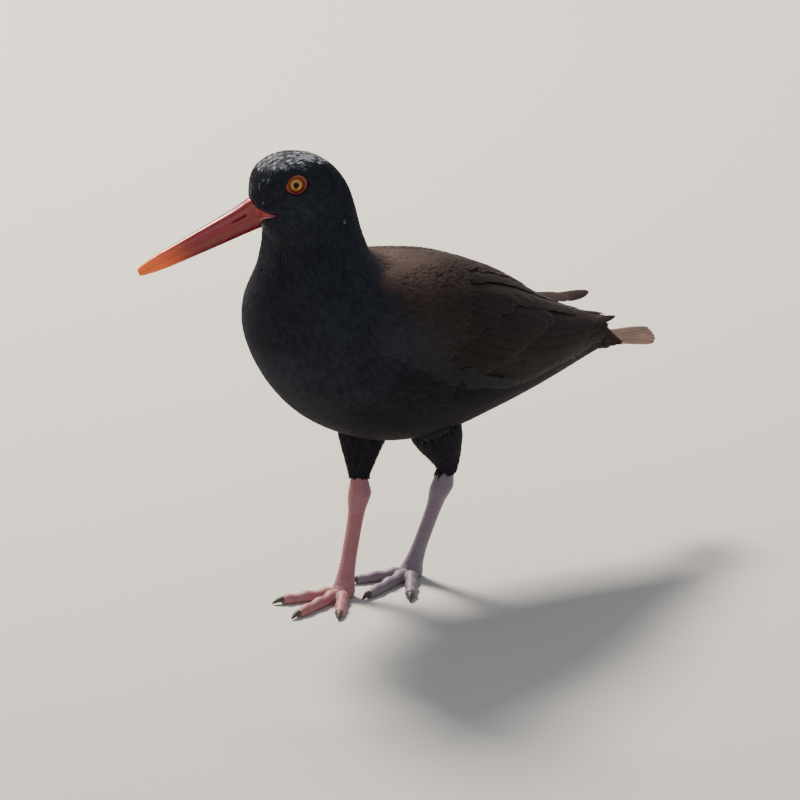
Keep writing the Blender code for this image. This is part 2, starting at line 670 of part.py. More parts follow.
def tail(material):
    """The tail: a core that thickens at its root to the section of the torso, and a fan of vanes."""
    over, under = [], []
    for q in np.linspace(0, TAIL_CORE_END, 5):
        over.append([])
        under.append([])
        for w in np.linspace(-1, 1, 7):
            round_off = math.sqrt(1 - 0.98 * w * w)
            root = (1 - step(q, 0.0, 0.6)) ** 1.3
            over[-1].append(tail_place(q, w) + np.array((0, 0, 0.2 + TAIL_OVER * root * round_off)))
            thick = 0.4 + (TAIL_UNDER * root + 1.0 * (1 - q)) * round_off
            under[-1].append(tail_place(q, w) - np.array((0, 0, thick)))
    body = new_object("tail", plate(over, under), material)

    def place(q, w, lift):
        return tail_place(q, w) + np.array((0, 0, lift))

    vanes = []
    for k in range(TAIL_PAIRS):
        for side in (1, -1):
            w = side * (k + 0.5) / TAIL_PAIRS * 0.94
            level = 1.0 - 0.4 * k + 0.15 * side
            root, tip, tilt = (0.12, w * 0.6), (1.0, w), -0.3 * side
            name = f"tail_{k}_{side}"
            vanes.append(vane(name, place, root, tip, TAIL_VANE_HALF, level, tilt, 0.0, material))
    return combine(body, vanes, "UNION")


def build():
    """Makes every piece and stands the bird on the middle of its own box."""
    feathers = finish("black_feathers", "1c1f24", 0.6)
    brown = finish("brown_feathers", "3a302b", 0.6)
    red = finish("red_bill", "cf3b2c", 0.4)
    iris = finish("yellow_iris", "e8a21c", 0.15)
    lid = finish("orange_lid", "d8431f", 0.5)
    flesh = finish("pale_leg_skin", "d9a79c", 0.55)
    horn = finish("dark_claw", "4a4038", 0.4)

    head = trunk_length("head", "bill_root", HEAD_END, 18, outline, feathers)
    trunk_length("neck", HEAD_END, NECK_END, 6, outline, feathers)
    trunk_length("torso", NECK_END, TORSO_END, TORSO_RINGS, torso_skin, feathers)

    upper = bill_half("upper_bill", True, red)
    bill_half("lower_bill", False, red)
    combine(upper, [nostril_cutter(1, red), nostril_cutter(-1, red)], "DIFFERENCE")

    for side, sign in (("left", 1), ("right", -1)):
        combine(head, socket_cutters(sign, feathers), "DIFFERENCE")
        ball(f"eye_{side}", eye_frame(sign)[0], EYE_RADIUS, iris)
        eye_ring(f"eye_ring_{side}", sign, lid)

        shank(side, flesh)
        palm(side, flesh)
        for name in TOES[side]:
            toe(side, name, flesh)
            claw(side, name, horn)
        combine(thigh(side, feathers), [swollen_torso(feathers)], "DIFFERENCE")
        wing(side, brown)
    tail(brown)

    bpy.context.view_layer.update()
    points = np.array([v.co for piece in MODEL.objects if piece.type == "MESH" for v in piece.data.vertices])
    low, high = points.min(axis=0), points.max(axis=0)
    MIDDLE.location = (-(low[0] + high[0]) / 2, -(low[1] + high[1]) / 2, 0.0)


for old in list(bpy.data.objects):
    bpy.data.objects.remove(old)
MODEL = bpy.data.collections.new("oystercatcher")
bpy.context.scene.collection.children.link(MODEL)
MIDDLE = bpy.data.objects.new("oystercatcher_middle", None)
MODEL.objects.link(MIDDLE)
build()
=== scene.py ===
"""Looks of a black oystercatcher that steps forward on its right foot with its head turned to its right.

Lengths are in millimetres until a mesh is made, in the straight bird's own frame: X forward, Y to its left
and Z up. The trunk is one surface, on which a station along it and an angle round it give a place, and the
skin, the small feathers, the wings and the eyes all take their places from it.
"""

import itertools
import math
from functools import partial

import bmesh
import bpy
import numpy as np
from bpy.props import FloatProperty, FloatVectorProperty, IntProperty, PointerProperty
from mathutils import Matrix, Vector
from mathutils.kdtree import KDTree


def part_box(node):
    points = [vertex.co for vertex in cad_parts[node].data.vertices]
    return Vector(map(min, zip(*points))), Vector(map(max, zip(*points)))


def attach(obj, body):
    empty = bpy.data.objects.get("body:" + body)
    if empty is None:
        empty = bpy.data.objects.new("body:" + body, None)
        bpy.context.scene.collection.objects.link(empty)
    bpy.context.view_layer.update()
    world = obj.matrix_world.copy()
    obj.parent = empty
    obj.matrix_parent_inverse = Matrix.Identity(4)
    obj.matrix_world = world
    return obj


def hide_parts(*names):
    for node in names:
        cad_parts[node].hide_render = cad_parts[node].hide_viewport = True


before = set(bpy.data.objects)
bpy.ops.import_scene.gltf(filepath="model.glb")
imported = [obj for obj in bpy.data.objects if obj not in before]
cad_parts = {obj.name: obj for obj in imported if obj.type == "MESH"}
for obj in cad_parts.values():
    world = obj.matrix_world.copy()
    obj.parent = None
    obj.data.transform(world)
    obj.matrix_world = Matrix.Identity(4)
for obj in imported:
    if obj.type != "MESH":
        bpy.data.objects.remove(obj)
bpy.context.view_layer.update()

bl_info = {
    "name": "Black oystercatcher",
    "version": (1, 0, 0),
    "blender": (4, 5, 0),
    "location": "3D View > Sidebar > Oystercatcher",
    "description": "Skin, feathers, bill, eyes and legs of a standing black oystercatcher",
    "category": "Mesh",
}

MM = 0.001
SIDES = {"left": 1, "right": -1}

# Trunk stations: back x, back z, front x, front z, half width and roundness. Front is the throat, breast or
# belly.
TRUNK = {
    "bill_root": (103.2, 243.0, 95.6, 224.0, 6.8, 0.9),
    "face": (101.9, 248.6, 93.6, 222.0, 11.2, 0.84),
    "forehead": (99.9, 255.2, 92.0, 219.4, 14.6, 0.8),
    "brow": (95.3, 261.0, 91.4, 216.3, 16.6, 0.78),
    "crown": (87.6, 264.8, 91.6, 213.0, 17.8, 0.78),
    "hind_crown": (77.2, 265.7, 92.8, 209.6, 18.9, 0.8),
    "occiput": (65.2, 262.9, 94.2, 205.9, 20.3, 0.83),
    "upper_nape": (54.9, 255.6, 95.7, 202.0, 22.2, 0.87),
    "nape": (48.0, 245.8, 97.0, 197.4, 24.6, 0.91),
    "upper_neck": (44.2, 234.6, 98.2, 191.8, 28.0, 0.95),
    "neck": (41.4, 223.0, 99.4, 184.8, 32.4, 0.98),
    "lower_neck": (38.3, 213.0, 100.4, 176.5, 37.4, 1.0),
    "neck_root": (35.0, 205.0, 100.6, 166.0, 42.4, 1.0),
    "shoulder": (28.0, 200.0, 98.6, 153.5, 46.8, 1.0),
    "mantle": (15.0, 196.0, 92.8, 139.5, 49.6, 1.0),
    "breast": (-2.0, 192.3, 82.8, 124.2, 51.0, 1.0),
    "upper_back": (-21.0, 187.2, 68.0, 109.8, 51.4, 1.0),
    "back": (-41.0, 179.0, 47.0, 97.2, 50.8, 1.0),
    "belly": (-60.0, 169.4, 22.0, 88.0, 48.8, 1.0),
    "loin": (-77.0, 158.6, -5.0, 85.5, 45.0, 1.0),
    "flank": (-92.0, 148.0, -34.0, 88.5, 39.8, 1.0),
    "rump": (-106.0, 139.6, -64.0, 92.0, 33.6, 1.0),
    "vent": (-118.0, 133.2, -93.0, 95.5, 26.4, 1.0),
    "tail_coverts": (-129.0, 128.0, -118.0, 98.8, 19.6, 1.0),
    "tail_root": (-139.0, 123.0, -139.0, 101.8, 14.4, 1.0),
    "wing_tips": (-157.0, 119.5, -157.0, 105.0, 9.5, 1.0),
}
ROWS = np.array(list(TRUNK.values()))
TRUNK_END = 24.0  # station of the tail's root, where the skin ends
TRUNK_REACH = (-0.3, 24.95)  # stations between which feathers may lie
TURN, TURN_AXIS_X, TURN_FROM, TURN_TO = math.radians(-22.0), 70.0, 176.0, 224.0

# Bill: share of its length out, ridge, mouth line, underside and half width, from the feather edge on its
# ridge, then where the feathers end: how far up and how far out
BILL_LENGTH, BILL_PITCH, BILL_ROOT_X, BILL_ROOT_Z = 72.5, math.radians(21.0), 103.2, 242.5
BILL = [
    (0.00, 0.0, -9.0, -18.2, 5.6),
    (0.07, -0.9, -9.0, -17.8, 5.2),
    (0.16, -1.8, -9.0, -17.4, 4.8),
    (0.30, -2.6, -9.0, -17.0, 4.2),
    (0.45, -3.3, -9.1, -16.4, 3.7),
    (0.62, -4.2, -9.3, -15.7, 3.2),
    (0.78, -5.0, -9.6, -14.9, 2.7),
    (0.88, -5.9, -9.8, -14.0, 2.2),
    (0.96, -7.1, -10.0, -12.9, 1.7),
    (1.00, -8.2, -10.1, -12.0, 1.3),
]
BILL_ROUND = 0.84  # share of each turn round a half of the bill before its flat side along the mouth
GAPE_BACK = 6.3  # how far the corner of the mouth reaches behind the feather edge on the ridge
FEATHER_EDGE = [(-20.0, 0.2), (-17.2, 0.5), (-12.6, 0.9), (-9.2, -5.6), (-8.4, -5.5), (-4.3, -0.3)]
FEATHER_EDGE += [(-1.7, -0.5), (3.0, -0.2)]
NOSTRIL_FROM, NOSTRIL_TO, NOSTRIL_UP, NOSTRIL_FALL = 5.0, 19.0, -6.3, 0.03

# Eyes and their rings of bare lid
EYE_X, EYE_Z, EYE_SIDE, EYE_RADIUS, EYE_AHEAD, EYE_UPWARD = 80.9, 252.2, 11.3, 6.0, 0.16, 0.08
IRIS_AHEAD, IRIS_UP, IRIS_ACROSS = 0.47, 0.455, 10.0
EYE_OPENING, RING_LONG, RING_HIGH, RING_CORNER, RING_TOP, RING_FOOT = 4.35, 6.1, 5.3, 0.9, 4.9, 2.9

# Legs: hip, feather hem, ankle and ball of the foot, then heading and length of each toe
LEGS = {
    "left": {
        "hip": (-6.0, 17.0, 96.0),
        "hem": (-20.6, 12.9, 63.0),
        "ankle": (-18.4, 11.6, 52.5),
        "ball": (-5.2, 1.6),
    },
    "right": {
        "hip": (14.0, -16.0, 97.0),
        "hem": (21.4, -12.0, 62.5),
        "ankle": (22.8, -10.2, 52.5),
        "ball": (43.8, 0.2),
    },
}
TOES = {
    "left": {"inner": (-22.0, 31.0), "middle": (13.0, 40.0), "outer": (47.0, 34.0)},
    "right": {"inner": (44.0, 31.0), "middle": (10.0, 39.0), "outer": (-24.0, 34.0)},
}
THIGH_RADII, THIGH_BEND, THIGH_COAT = [15.0, 14.5, 13.0, 10.8, 8.9, 7.6, 6.4, 5.8], 0.6, 1.5
TARSUS = [(0.09, 6.3), (0.2, 5.2), (0.36, 4.7), (0.55, 4.6), (0.75, 4.6), (0.9, 4.8), (1.0, 5.2)]
PALM_TOP, BALL_HEIGHT = 13.0, 6.0
PALM = [(0.0, 4.4), (1.2, 5.9), (4.0, 6.4), (6.5, 6.1), (9.0, 5.4), (PALM_TOP, 4.9)]  # (height, radius)
SHANK_FLAT, TENDON = 0.86, 0.35
TOE_HIGH, TOE_WIDE, TOE_PAD, TOE_END = 7.0, 3.7, 11.0, 1.8
CLAW_LENGTH, CLAW_HALF, CLAW_HIGH, CLAW_LIFT = 7.0, 1.75, 3.3, 0.6
WEB_THICK = 1.1
SCUTE_PITCH, SCUTE_RISE = 1.7, 0.045

# Wings on the trunk: their outline by share of the length and angle, and how their tips leave the body:
# forward, out, up and roll, the share of the length where that starts, and how it grows
WING_DEPTH, WING_FROM, WING_TO = 5.0, 12.4, 25.0
WING_TOP = [(0.0, 48.0), (0.05, 34.0), (0.15, 24.0), (0.35, 14.0), (0.6, 5.0), (0.85, 5.0), (1.0, 22.0)]
WING_LOW = [(0.0, 72.0), (0.05, 86.0), (0.15, 97.0), (0.35, 104.0), (0.6, 100.0), (0.85, 84.0), (1.0, 60.0)]
WING_TIP = {1: (8.2, 6.6, 2.5, 0.0, 0.55, 1.6), -1: (-4.0, 17.0, 5.5, 18.0, 0.5, 1.1)}
COVERTS_END = 0.30  # share of the wing under small coverts, which lie with the body's feathers
CORE_END = 0.84

# Tiers of a wing's long feathers from the lowest: how many, root and tip of the first and the last, half
# widths, lifts of the tips, and the rise of a vane's lower edge over its upper
WING_TIERS = {
    "primaries": (8, (0.56, 0.84), (0.66, 0.40), (0.88, 0.66), (1.0, 0.30), 5.4, 4.6, 0.3, 1.0, 0.2),
    "secondaries": (7, (0.36, 0.86), (0.58, 0.76), (0.60, 0.96), (0.84, 0.88), 7.5, 6.5, 0.4, 0.6, 0.2),
    "tertials": (6, (0.46, 0.66), (0.52, 0.20), (0.78, 0.78), (0.90, 0.26), 9.0, 7.5, 0.8, 1.5, 0.3),
    "greater_coverts": (10, (0.17, 0.90), (0.40, 0.30), (0.40, 0.95), (0.62, 0.42), 7.0, 7.0, 0.8, 1.2, 0.2),
    "median_coverts": (11, (0.08, 0.86), (0.27, 0.24), (0.27, 0.92), (0.46, 0.34), 6.2, 6.2, 1.0, 1.3, 0.2),
    "lower_scapulars": (7, (0.22, 0.26), (0.50, 0.16), (0.42, 0.34), (0.76, 0.20), 6.8, 6.2, 1.1, 1.4, 0.2),
    "upper_scapulars": (7, (0.10, 0.20), (0.44, 0.05), (0.32, 0.18), (0.70, 0.05), 5.4, 6.0, 0.7, 1.5, 0.2),
}
ROUNDED_VANE = [(0.0, 0.55), (0.3, 0.85), (0.7, 1.0), (0.86, 0.94), (0.94, 0.74), (0.98, 0.46), (1.0, 0.12)]
POINTED_VANE = [(0.0, 0.5), (0.3, 0.85), (0.6, 1.0), (0.8, 0.86), (0.92, 0.56), (0.98, 0.26), (1.0, 0.06)]
WING_VANE_THICK, TAIL_VANE_THICK = 0.16, 0.2
TAIL_ROOT, TAIL_TIP, TAIL_PAIRS = (-139.3, 110.5), (-183.0, 102.0), 6
TAIL_HALF_ROOT, TAIL_HALF_TIP, TAIL_ARCH, TAIL_ROUND = 13.8, 16.0, 2.4, 0.22
TAIL_VANE_HALF, TAIL_OVER, TAIL_UNDER = 4.3, 11.5, 6.5

# Coat by station: distance between roots, depth of the feathers over the skin, their length in distances
# between roots, how loosely they lie, and how far from the back the crown's painted sheen reaches, in degrees
PITCH = [(0.0, 1.0), (2.0, 1.1), (5.0, 1.25), (8.0, 1.45), (11.0, 1.8), (14.0, 2.1), (18.0, 2.4), (24.0, 2.3)]
DEPTH = [(0.0, 0.5), (2.0, 0.8), (5.0, 1.1), (8.0, 1.6), (11.0, 2.2), (16.0, 3.0), (24.0, 2.0)]
LENGTH = [(0.0, 3.2), (5.0, 3.8), (12.0, 4.6), (24.0, 5.0)]
LOOSE = [(0.0, 0.09), (5.0, 0.09), (8.0, 0.03), (13.0, 0.012), (24.0, 0.012)]
PAINTED_SHEEN_REACH = [(1.6, -9.0), (2.5, 14.0), (3.3, 32.0), (4.6, 38.0), (5.2, 30.0), (6.0, 12.0), (6.7, -9.0)]
MANTLE = 12.6  # station where the back's brown feathers begin

# Bake coordinates: size of a small feather's patch, then margin, size and spacing of long feathers' squares
TUFT = 0.003
EDGE, CELL, CELL_PITCH, CELLS_ACROSS = 0.01, 0.05, 0.065, 15

# The photograph's view: bearing from the bird's left side, height, aim and width of the picture
VIEW_TURN, VIEW_HEIGHT = math.radians(42.0), math.radians(20.0)
VIEW_AIM, VIEW_WIDTH = (2.0, 0.0, 105.1), 440.0


# Form of the bird


def through(rows, s):
    """The rows read at s, counted in rows, on a smooth curve through all of them."""
    s = np.asarray(s, dtype=float)
    i = np.clip(np.floor(s).astype(int), 0, len(rows) - 2)
    t = (s - i)[..., None]
    before, here = rows[np.maximum(i - 1, 0)], rows[i]
    after, beyond = rows[i + 1], rows[np.minimum(i + 2, len(rows) - 1)]
    return 0.5 * (
        2 * here
        + (after - before) * t
        + (2 * before - 5 * here + 4 * after - beyond) * t**2
        + (3 * here - before - 3 * after + beyond) * t**3
    )


def table(pairs, u):
    """The value at u on straight lines through (u, value) pairs."""
    places, values = zip(*pairs)
    return np.interp(u, places, values)


def along(pairs, u):
    """The value at u through (u, value) pairs, rounded at each of them."""
    return np.mean([table(pairs, u + shift) for shift in np.linspace(-0.04, 0.04, 5)], axis=0)


def step(x, low, high):
    """Rises smoothly from 0 at low to 1 at high."""
    t = np.clip((np.asarray(x, dtype=float) - low) / (high - low), 0.0, 1.0)
    return t * t * (3 - 2 * t)


def spread(*values):
    """Numbers and arrays as float arrays of one shape."""
    return np.broadcast_arrays(*(np.asarray(v, dtype=float) for v in values))


def stacked(*coordinates):
    """Points from the lists of their coordinates."""
    return np.stack(np.broadcast_arrays(*coordinates), axis=-1)


def circle(angle):
    """Cosine and sine of an angle in degrees."""
    return np.cos(np.radians(angle)), np.sin(np.radians(angle))


def unit(v):
    """Vectors at length 1."""
    return v / np.maximum(np.linalg.norm(v, axis=-1, keepdims=True), 1e-9)


def dot(a, b):
    """Products of two lists of vectors."""
    return np.sum(a * b, axis=-1)


def turned(x, y, z, share=1.0):
    """A point of the straight bird, carried round by the turn of its head."""
    c, s = np.cos(TURN * share), np.sin(TURN * share)
    dx = x - TURN_AXIS_X
    return stacked(TURN_AXIS_X + c * dx - s * y, s * dx + c * y, z)


def outline(s, angle):
    """The bird's outer form at station s: angle 0 is the back, 90 its left side and 180 the front."""
    s, angle = spread(s, angle)
    back_x, back_z, front_x, front_z, half, roundness = np.moveaxis(through(ROWS, s), -1, 0)
    rise, side = (np.sign(c) * np.abs(c) ** roundness for c in circle(angle))
    x = (back_x + front_x) / 2 + (back_x - front_x) / 2 * rise
    z = (back_z + front_z) / 2 + (back_z - front_z) / 2 * rise
    return turned(x, half * side, z, step(z, TURN_FROM, TURN_TO))


def outward(s, angle):
    """The unit normal of the outer form, pointing out."""
    flow = outline(s + 0.05, angle) - outline(s - 0.05, angle)
    around = outline(s, angle + 1.0) - outline(s, angle - 1.0)
    return unit(np.cross(around, flow))


def on_trunk(s, angle, lift):
    """A point lift above the bird's outer form."""
    s = np.clip(s, *TRUNK_REACH)
    return outline(s, angle) + outward(s, angle) * np.asarray(lift)[..., None]


def aside(angle):
    """How far round from the back an angle is, on either side."""
    return np.abs((np.asarray(angle) + 180) % 360 - 180)


def wing_inside(s, angle):
    """Share of the wing's length at a place of the trunk, and how many degrees inside its outline that is."""
    u = (np.asarray(s) - WING_FROM) / (WING_TO - WING_FROM)
    top, low = along(WING_TOP, np.maximum(u, 0.0)), along(WING_LOW, np.maximum(u, 0.0))
    return u, np.minimum(aside(angle) - top, low - aside(angle))


def on_wing(side):
    """Places on a folded wing, by share of its length, of its width from the top, and lift over the trunk."""
    ahead, out, up, roll, start, growth = WING_TIP[side]

    def place(u, v, lift):
        u, v, lift = spread(u, v, lift)
        s = WING_FROM + (WING_TO - WING_FROM) * u
        top, low = along(WING_TOP, u), along(WING_LOW, u)
        angle = side * (top + (low - top) * v)
        drift = (np.maximum(u - start, 0.0) / (1 - start)) ** growth
        rolled = roll * (v - 0.35) * np.minimum(2 * drift, 1) * (1 - 0.55 * drift)
        moved = stacked(ahead * drift, side * out * drift, up * drift + rolled)
        tucked = 1.8 * step(v, 0.78, 1.0) * (1 - step(u, 0.4, 0.6)) + 0.5 * step(0.2 - v, 0.0, 0.2)
        return outline(s, angle) + outward(s, angle) * (lift - tucked)[..., None] + moved

    return place


def hollow(s, angle):
    """Depth of the trunk's hollow where a folded wing lies, run out before the wing's free tip."""
    u, inside = wing_inside(s, angle)
    return WING_DEPTH * step(u, -0.06, 0.06) * step(inside, -3.0, 8.0) * (1 - step(u, 0.62, 0.92))


def bill_axes():
    """Root of the bill, and its directions out, up and to the left."""
    root = turned(BILL_ROOT_X, 0.0, BILL_ROOT_Z)
    c, s = math.cos(BILL_PITCH), math.sin(BILL_PITCH)
    out = turned(BILL_ROOT_X + c, 0.0, BILL_ROOT_Z - s) - root
    up = turned(BILL_ROOT_X + s, 0.0, BILL_ROOT_Z + c) - root
    return root, out, up, turned(BILL_ROOT_X, 1.0, BILL_ROOT_Z) - root


def in_bill(points):
    """Points as distances out, up and to the left of the bill's root."""
    root, *axes = bill_axes()
    return [dot(points - root, axis) for axis in axes]


def on_bill(points):
    """Where points lie on the bare base of the bill, its long corners at the mouth among it."""
    out, up, left = in_bill(points)
    return (out > table(FEATHER_EDGE, up) - 0.1) & (up > -20) & (up < 3) & (np.abs(left) < 17)


def face_terms(out, up):
    """The terms of a curved surface beside the bill: 1, out, up, out², out·up and up²."""
    return stacked(1.0, out, up, out**2, out * up, up**2)


def face_side():
    """The head's half width beside the bill's root, as factors of the face's terms."""
    s, angle = np.meshgrid(np.linspace(0.0, 3.2, 40), np.linspace(70, 120, 40), indexing="ij")
    out, up, left = in_bill(outline(s.ravel(), angle.ravel()))
    return np.linalg.lstsq(face_terms(out, up), left, rcond=None)[0]


def nostril(out, up):
    """Depth of the nostril's groove at a place on the side of the bill."""
    half = 0.6 - 0.2 * step(out, NOSTRIL_FROM, NOSTRIL_TO)
    height = (up - NOSTRIL_UP + (out - NOSTRIL_FROM) * NOSTRIL_FALL) / half
    ends = step(out, NOSTRIL_FROM - 1, NOSTRIL_FROM + 2) * (1 - step(out, NOSTRIL_TO - 8, NOSTRIL_TO + 2))
    return np.exp(-(height**2)) * ends


def eye_axes(side):
    """Middle of an eye, and its directions forward, up and out of the head."""
    middle = turned(EYE_X, side * EYE_SIDE, EYE_Z)
    out = unit(turned(TURN_AXIS_X + EYE_AHEAD, side * 1.0, EYE_UPWARD) - turned(TURN_AXIS_X, 0.0, 0.0))
    ahead = bill_axes()[1]
    ahead = unit(ahead - out * dot(ahead, out))
    return middle, ahead, np.cross(ahead, out) * side, out


def ring_reach(turn):
    """Half size of the lid ring's outer edge: an oval, drawn out to a corner towards the bill."""
    oval = RING_LONG * RING_HIGH / np.hypot(RING_HIGH * np.cos(turn), RING_LONG * np.sin(turn))
    return oval + RING_CORNER * np.maximum(np.cos(turn), 0.0) ** 10


def from_eye(points, side):
    """How far points lie outside the lid ring's edge, and how high over the eye's middle."""
    middle, *axes = eye_axes(side)
    ahead, up, height = (dot(points - middle, axis) for axis in axes)
    return np.hypot(ahead, up) - ring_reach(np.arctan2(up, ahead)), height


def tail_place(q, w, lift):
    """A place on the tail fan: q from its root to the tip, w from the right edge to the left."""
    q, w, lift = spread(q, w, lift)
    half = TAIL_HALF_ROOT + (TAIL_HALF_TIP - TAIL_HALF_ROOT) * q
    reach = q * (1 - TAIL_ROUND * np.abs(w) ** 2.5)
    x = TAIL_ROOT[0] + (TAIL_TIP[0] - TAIL_ROOT[0]) * reach
    z = TAIL_ROOT[1] + (TAIL_TIP[1] - TAIL_ROOT[1]) * reach - TAIL_ARCH * w * w + lift
    return stacked(x, half * w, z)


def tail_swell(q):
    """How thick the flesh and coverts of the tail's root still are, from 1 to 0."""
    return (1 - step(q, 0.0, 0.4)) ** 1.3


def tail_cover(over):
    """Places on the coverts over or under the tail's root, round from its edge."""

    def place(q, angle, lift):
        c, w = circle(angle)
        root = tail_swell(q) * np.abs(c)
        rise = 0.2 + TAIL_OVER * root if over else -0.4 - TAIL_UNDER * root
        return tail_place(q, w * 1.03, rise + (lift if over else -lift))

    return place


def tail_flesh(t, angle):
    """The flesh of the tail's root, from inside the trunk to inside the coverts."""
    c, w = circle(angle)
    q = -0.3 + 0.6 * t
    rise = np.where(c > 0, TAIL_OVER, TAIL_UNDER) * tail_swell(q)
    return tail_place(q, 0.95 * w, (0.3 + np.maximum(rise - 0.8, 0.0)) * c)


def leg_points(side):
    """Hip, hem and ankle of a leg, the ball of its foot, and where the shank meets the palm."""
    hip, hem, ankle = (np.array(LEGS[side][name]) for name in ("hip", "hem", "ankle"))
    ball = np.array((*LEGS[side]["ball"], BALL_HEIGHT))
    return hip, hem, ankle, ball, ball + (ankle - ball) * (PALM_TOP - BALL_HEIGHT) / (ankle[2] - BALL_HEIGHT)


def on_thigh(side):
    """Places on a feathered thigh, by share of its length, angle round it and lift."""
    hip, hem, ankle, _, _ = leg_points(side)
    bend = hem + (hem - ankle) * THIGH_BEND

    def place(q, angle, lift):
        q, angle, lift = spread(q, angle, lift)
        t = np.minimum(q, 1.0)[..., None]
        way = unit((bend - hip) * (1 - t) + (hem - bend) * t)
        middle = hip * (1 - t) ** 2 + bend * 2 * t * (1 - t) + hem * t**2
        middle = middle + (ankle - hem) * np.maximum(q - 1.0, 0.0)[..., None]
        wide = unit(np.cross(way, (1.0, 0.0, 0.0)))
        c, w = circle(angle[..., None])
        r = np.interp(q, np.linspace(0, 1, len(THIGH_RADII)), THIGH_RADII) + lift
        return middle + (wide * c + np.cross(wide, way) * w) * r[..., None]

    return place


def on_foot(side, heading, reach, y, z):
    """Places reach out from the ball of a foot along a toe's heading, y to the toe's left and z up."""
    c, s = math.cos(math.radians(heading)), math.sin(math.radians(heading))
    start = LEGS[side]["ball"]
    return stacked(start[0] + c * reach - s * y, start[1] + s * reach + c * y, z)


# Making of meshes

SHIFT = np.array((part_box("eye_left")[0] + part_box("eye_left")[1]) / 2) / MM - eye_axes(1)[0]


def linear(code):
    """An sRGB hex colour as linear values."""
    parts = [int(code[i : i + 2], 16) / 255 for i in (0, 2, 4)]
    return tuple(c / 12.92 if c <= 0.04045 else ((c + 0.055) / 1.055) ** 2.4 for c in parts)


def new_bmesh(*layers):
    """An empty bmesh with named layers of flat coordinates."""
    bm = bmesh.new()
    for name in layers:
        bm.loops.layers.uv.new(name)
    return bm


def sheet(bm, rows, columns, place, **layers):
    """A grid laid by place(share along, share across), with flat coordinates for each named layer."""
    made = bmesh.ops.create_grid(bm, x_segments=columns, y_segments=rows, size=0.5)["verts"]
    far, across = np.array([(v.co.y + 0.5, v.co.x + 0.5) for v in made]).T
    for vert, point in zip(made, place(far, across)):
        vert.co = point
    for name, unwrap in layers.items():
        layer = bm.loops.layers.uv[name]
        for vert, flat in zip(made, unwrap(far, across)):
            for loop in vert.link_loops:
                loop[layer].uv = flat
    return made


def sleeve(bm, rows, columns, place, **layers):
    """A closed form: a grid wrapped round by place(share along, angle), with both ends drawn to a point."""

    def closed(t, a):
        inner = np.clip((t * rows - 1) / (rows - 2), 0, 1)
        points = place(inner, a * 360.0)
        ring = np.linspace(0, 360, columns, endpoint=False)
        for end, here in ((0.0, t < 0.5 / rows), (1.0, t > 1 - 0.5 / rows)):
            points[here] = place(np.full(columns, end), ring).mean(axis=0)
        return points

    made = sheet(bm, rows, columns, closed, **layers)
    bmesh.ops.remove_doubles(bm, verts=made, dist=1e-4)
    bmesh.ops.recalc_face_normals(bm, faces=bm.faces)


def piece(name, bm, material, replaced=(), slot=None, smooth=180.0):
    """An object from a bmesh in millimetres, riding on the bird and standing for CAD nodes."""
    bmesh.ops.translate(bm, vec=Vector(SHIFT), verts=bm.verts)
    bmesh.ops.scale(bm, vec=(MM, MM, MM), verts=bm.verts)
    mesh = bpy.data.meshes.new(name)
    bm.to_mesh(mesh)
    bm.free()
    return finished(name, mesh, material, replaced, slot, smooth)


def finished(name, mesh, material, replaced=(), slot=None, smooth=180.0):
    """An object from a mesh that is in place, with its shading, material and ties to the frame."""
    mesh.shade_smooth()
    if smooth < 180.0:
        mesh.set_sharp_from_angle(angle=math.radians(smooth))
    mesh.materials.append(material)
    made = bpy.data.objects.new(name, mesh)
    bpy.context.scene.collection.objects.link(made)
    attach(made, "root")
    if replaced:
        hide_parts(*replaced)
    return made


def settled(made, kind, **settings):
    """Applies one modifier to an object."""
    change = made.modifiers.new(kind.lower(), kind)
    for key, value in settings.items():
        setattr(change, key, value)
    bpy.context.view_layer.update()
    mesh = bpy.data.meshes.new_from_object(made.evaluated_get(bpy.context.evaluated_depsgraph_get()))
    made.modifiers.clear()
    made.data = mesh


def write_values(mesh, values):
    """Stores numbers for the points of a mesh, by name."""
    for name, numbers in values.items():
        layer = mesh.attributes.new(name, "FLOAT", "POINT")
        layer.data.foreach_set("value", np.asarray(numbers, dtype=np.float32))


def places_of(mesh):
    """The vertices of a mesh, in millimetres in the straight bird's frame."""
    flat = np.zeros(len(mesh.vertices) * 3, dtype=np.float32)
    mesh.vertices.foreach_get("co", flat)
    return flat.reshape(-1, 3).astype(float) / MM - SHIFT


def move_to(mesh, points):
    """Puts the vertices of a mesh at points in the straight bird's frame."""
    mesh.vertices.foreach_set("co", ((points + SHIFT) * MM).astype(np.float32).ravel())
    mesh.update()


# Materials


def feed(target, inputs):
    """Gives a node's inputs, by name or in their order, values or the outputs that feed them."""
    for socket, value in inputs.items() if isinstance(inputs, dict) else enumerate(inputs):
        if isinstance(value, bpy.types.NodeSocket):
            target.id_data.links.new(value, target.inputs[socket])
        else:
            target.inputs[socket].default_value = value


def node(tree, kind, inputs=(), output=0, **settings):
    """Adds one node with its settings and links, and returns one of its outputs."""
    made = tree.nodes.new("ShaderNode" + kind)
    for name, value in settings.items():
        setattr(made, name, value)
    feed(made, inputs)
    return made.outputs[output]


def started(name, sockets):
    """A material, its shader with constant values in named sockets, and the function that adds its nodes."""
    material = bpy.data.materials.new(name)
    material.use_nodes = True
    shader = material.node_tree.nodes["Principled BSDF"]
    feed(shader, sockets)
    return material, shader, partial(node, material.node_tree)


def mottled(add, grain, detail, low, high, start=0.3, end=0.7):
    """Noise with grains of so many millimetres, and a share from low to high that follows it."""
    place = add("TexCoord", output="Object")
    noise = add("TexNoise", {"Vector": place, "Scale": 1 / (grain * MM), "Detail": detail})
    return noise, add("MapRange", (noise, start, end, low, high))


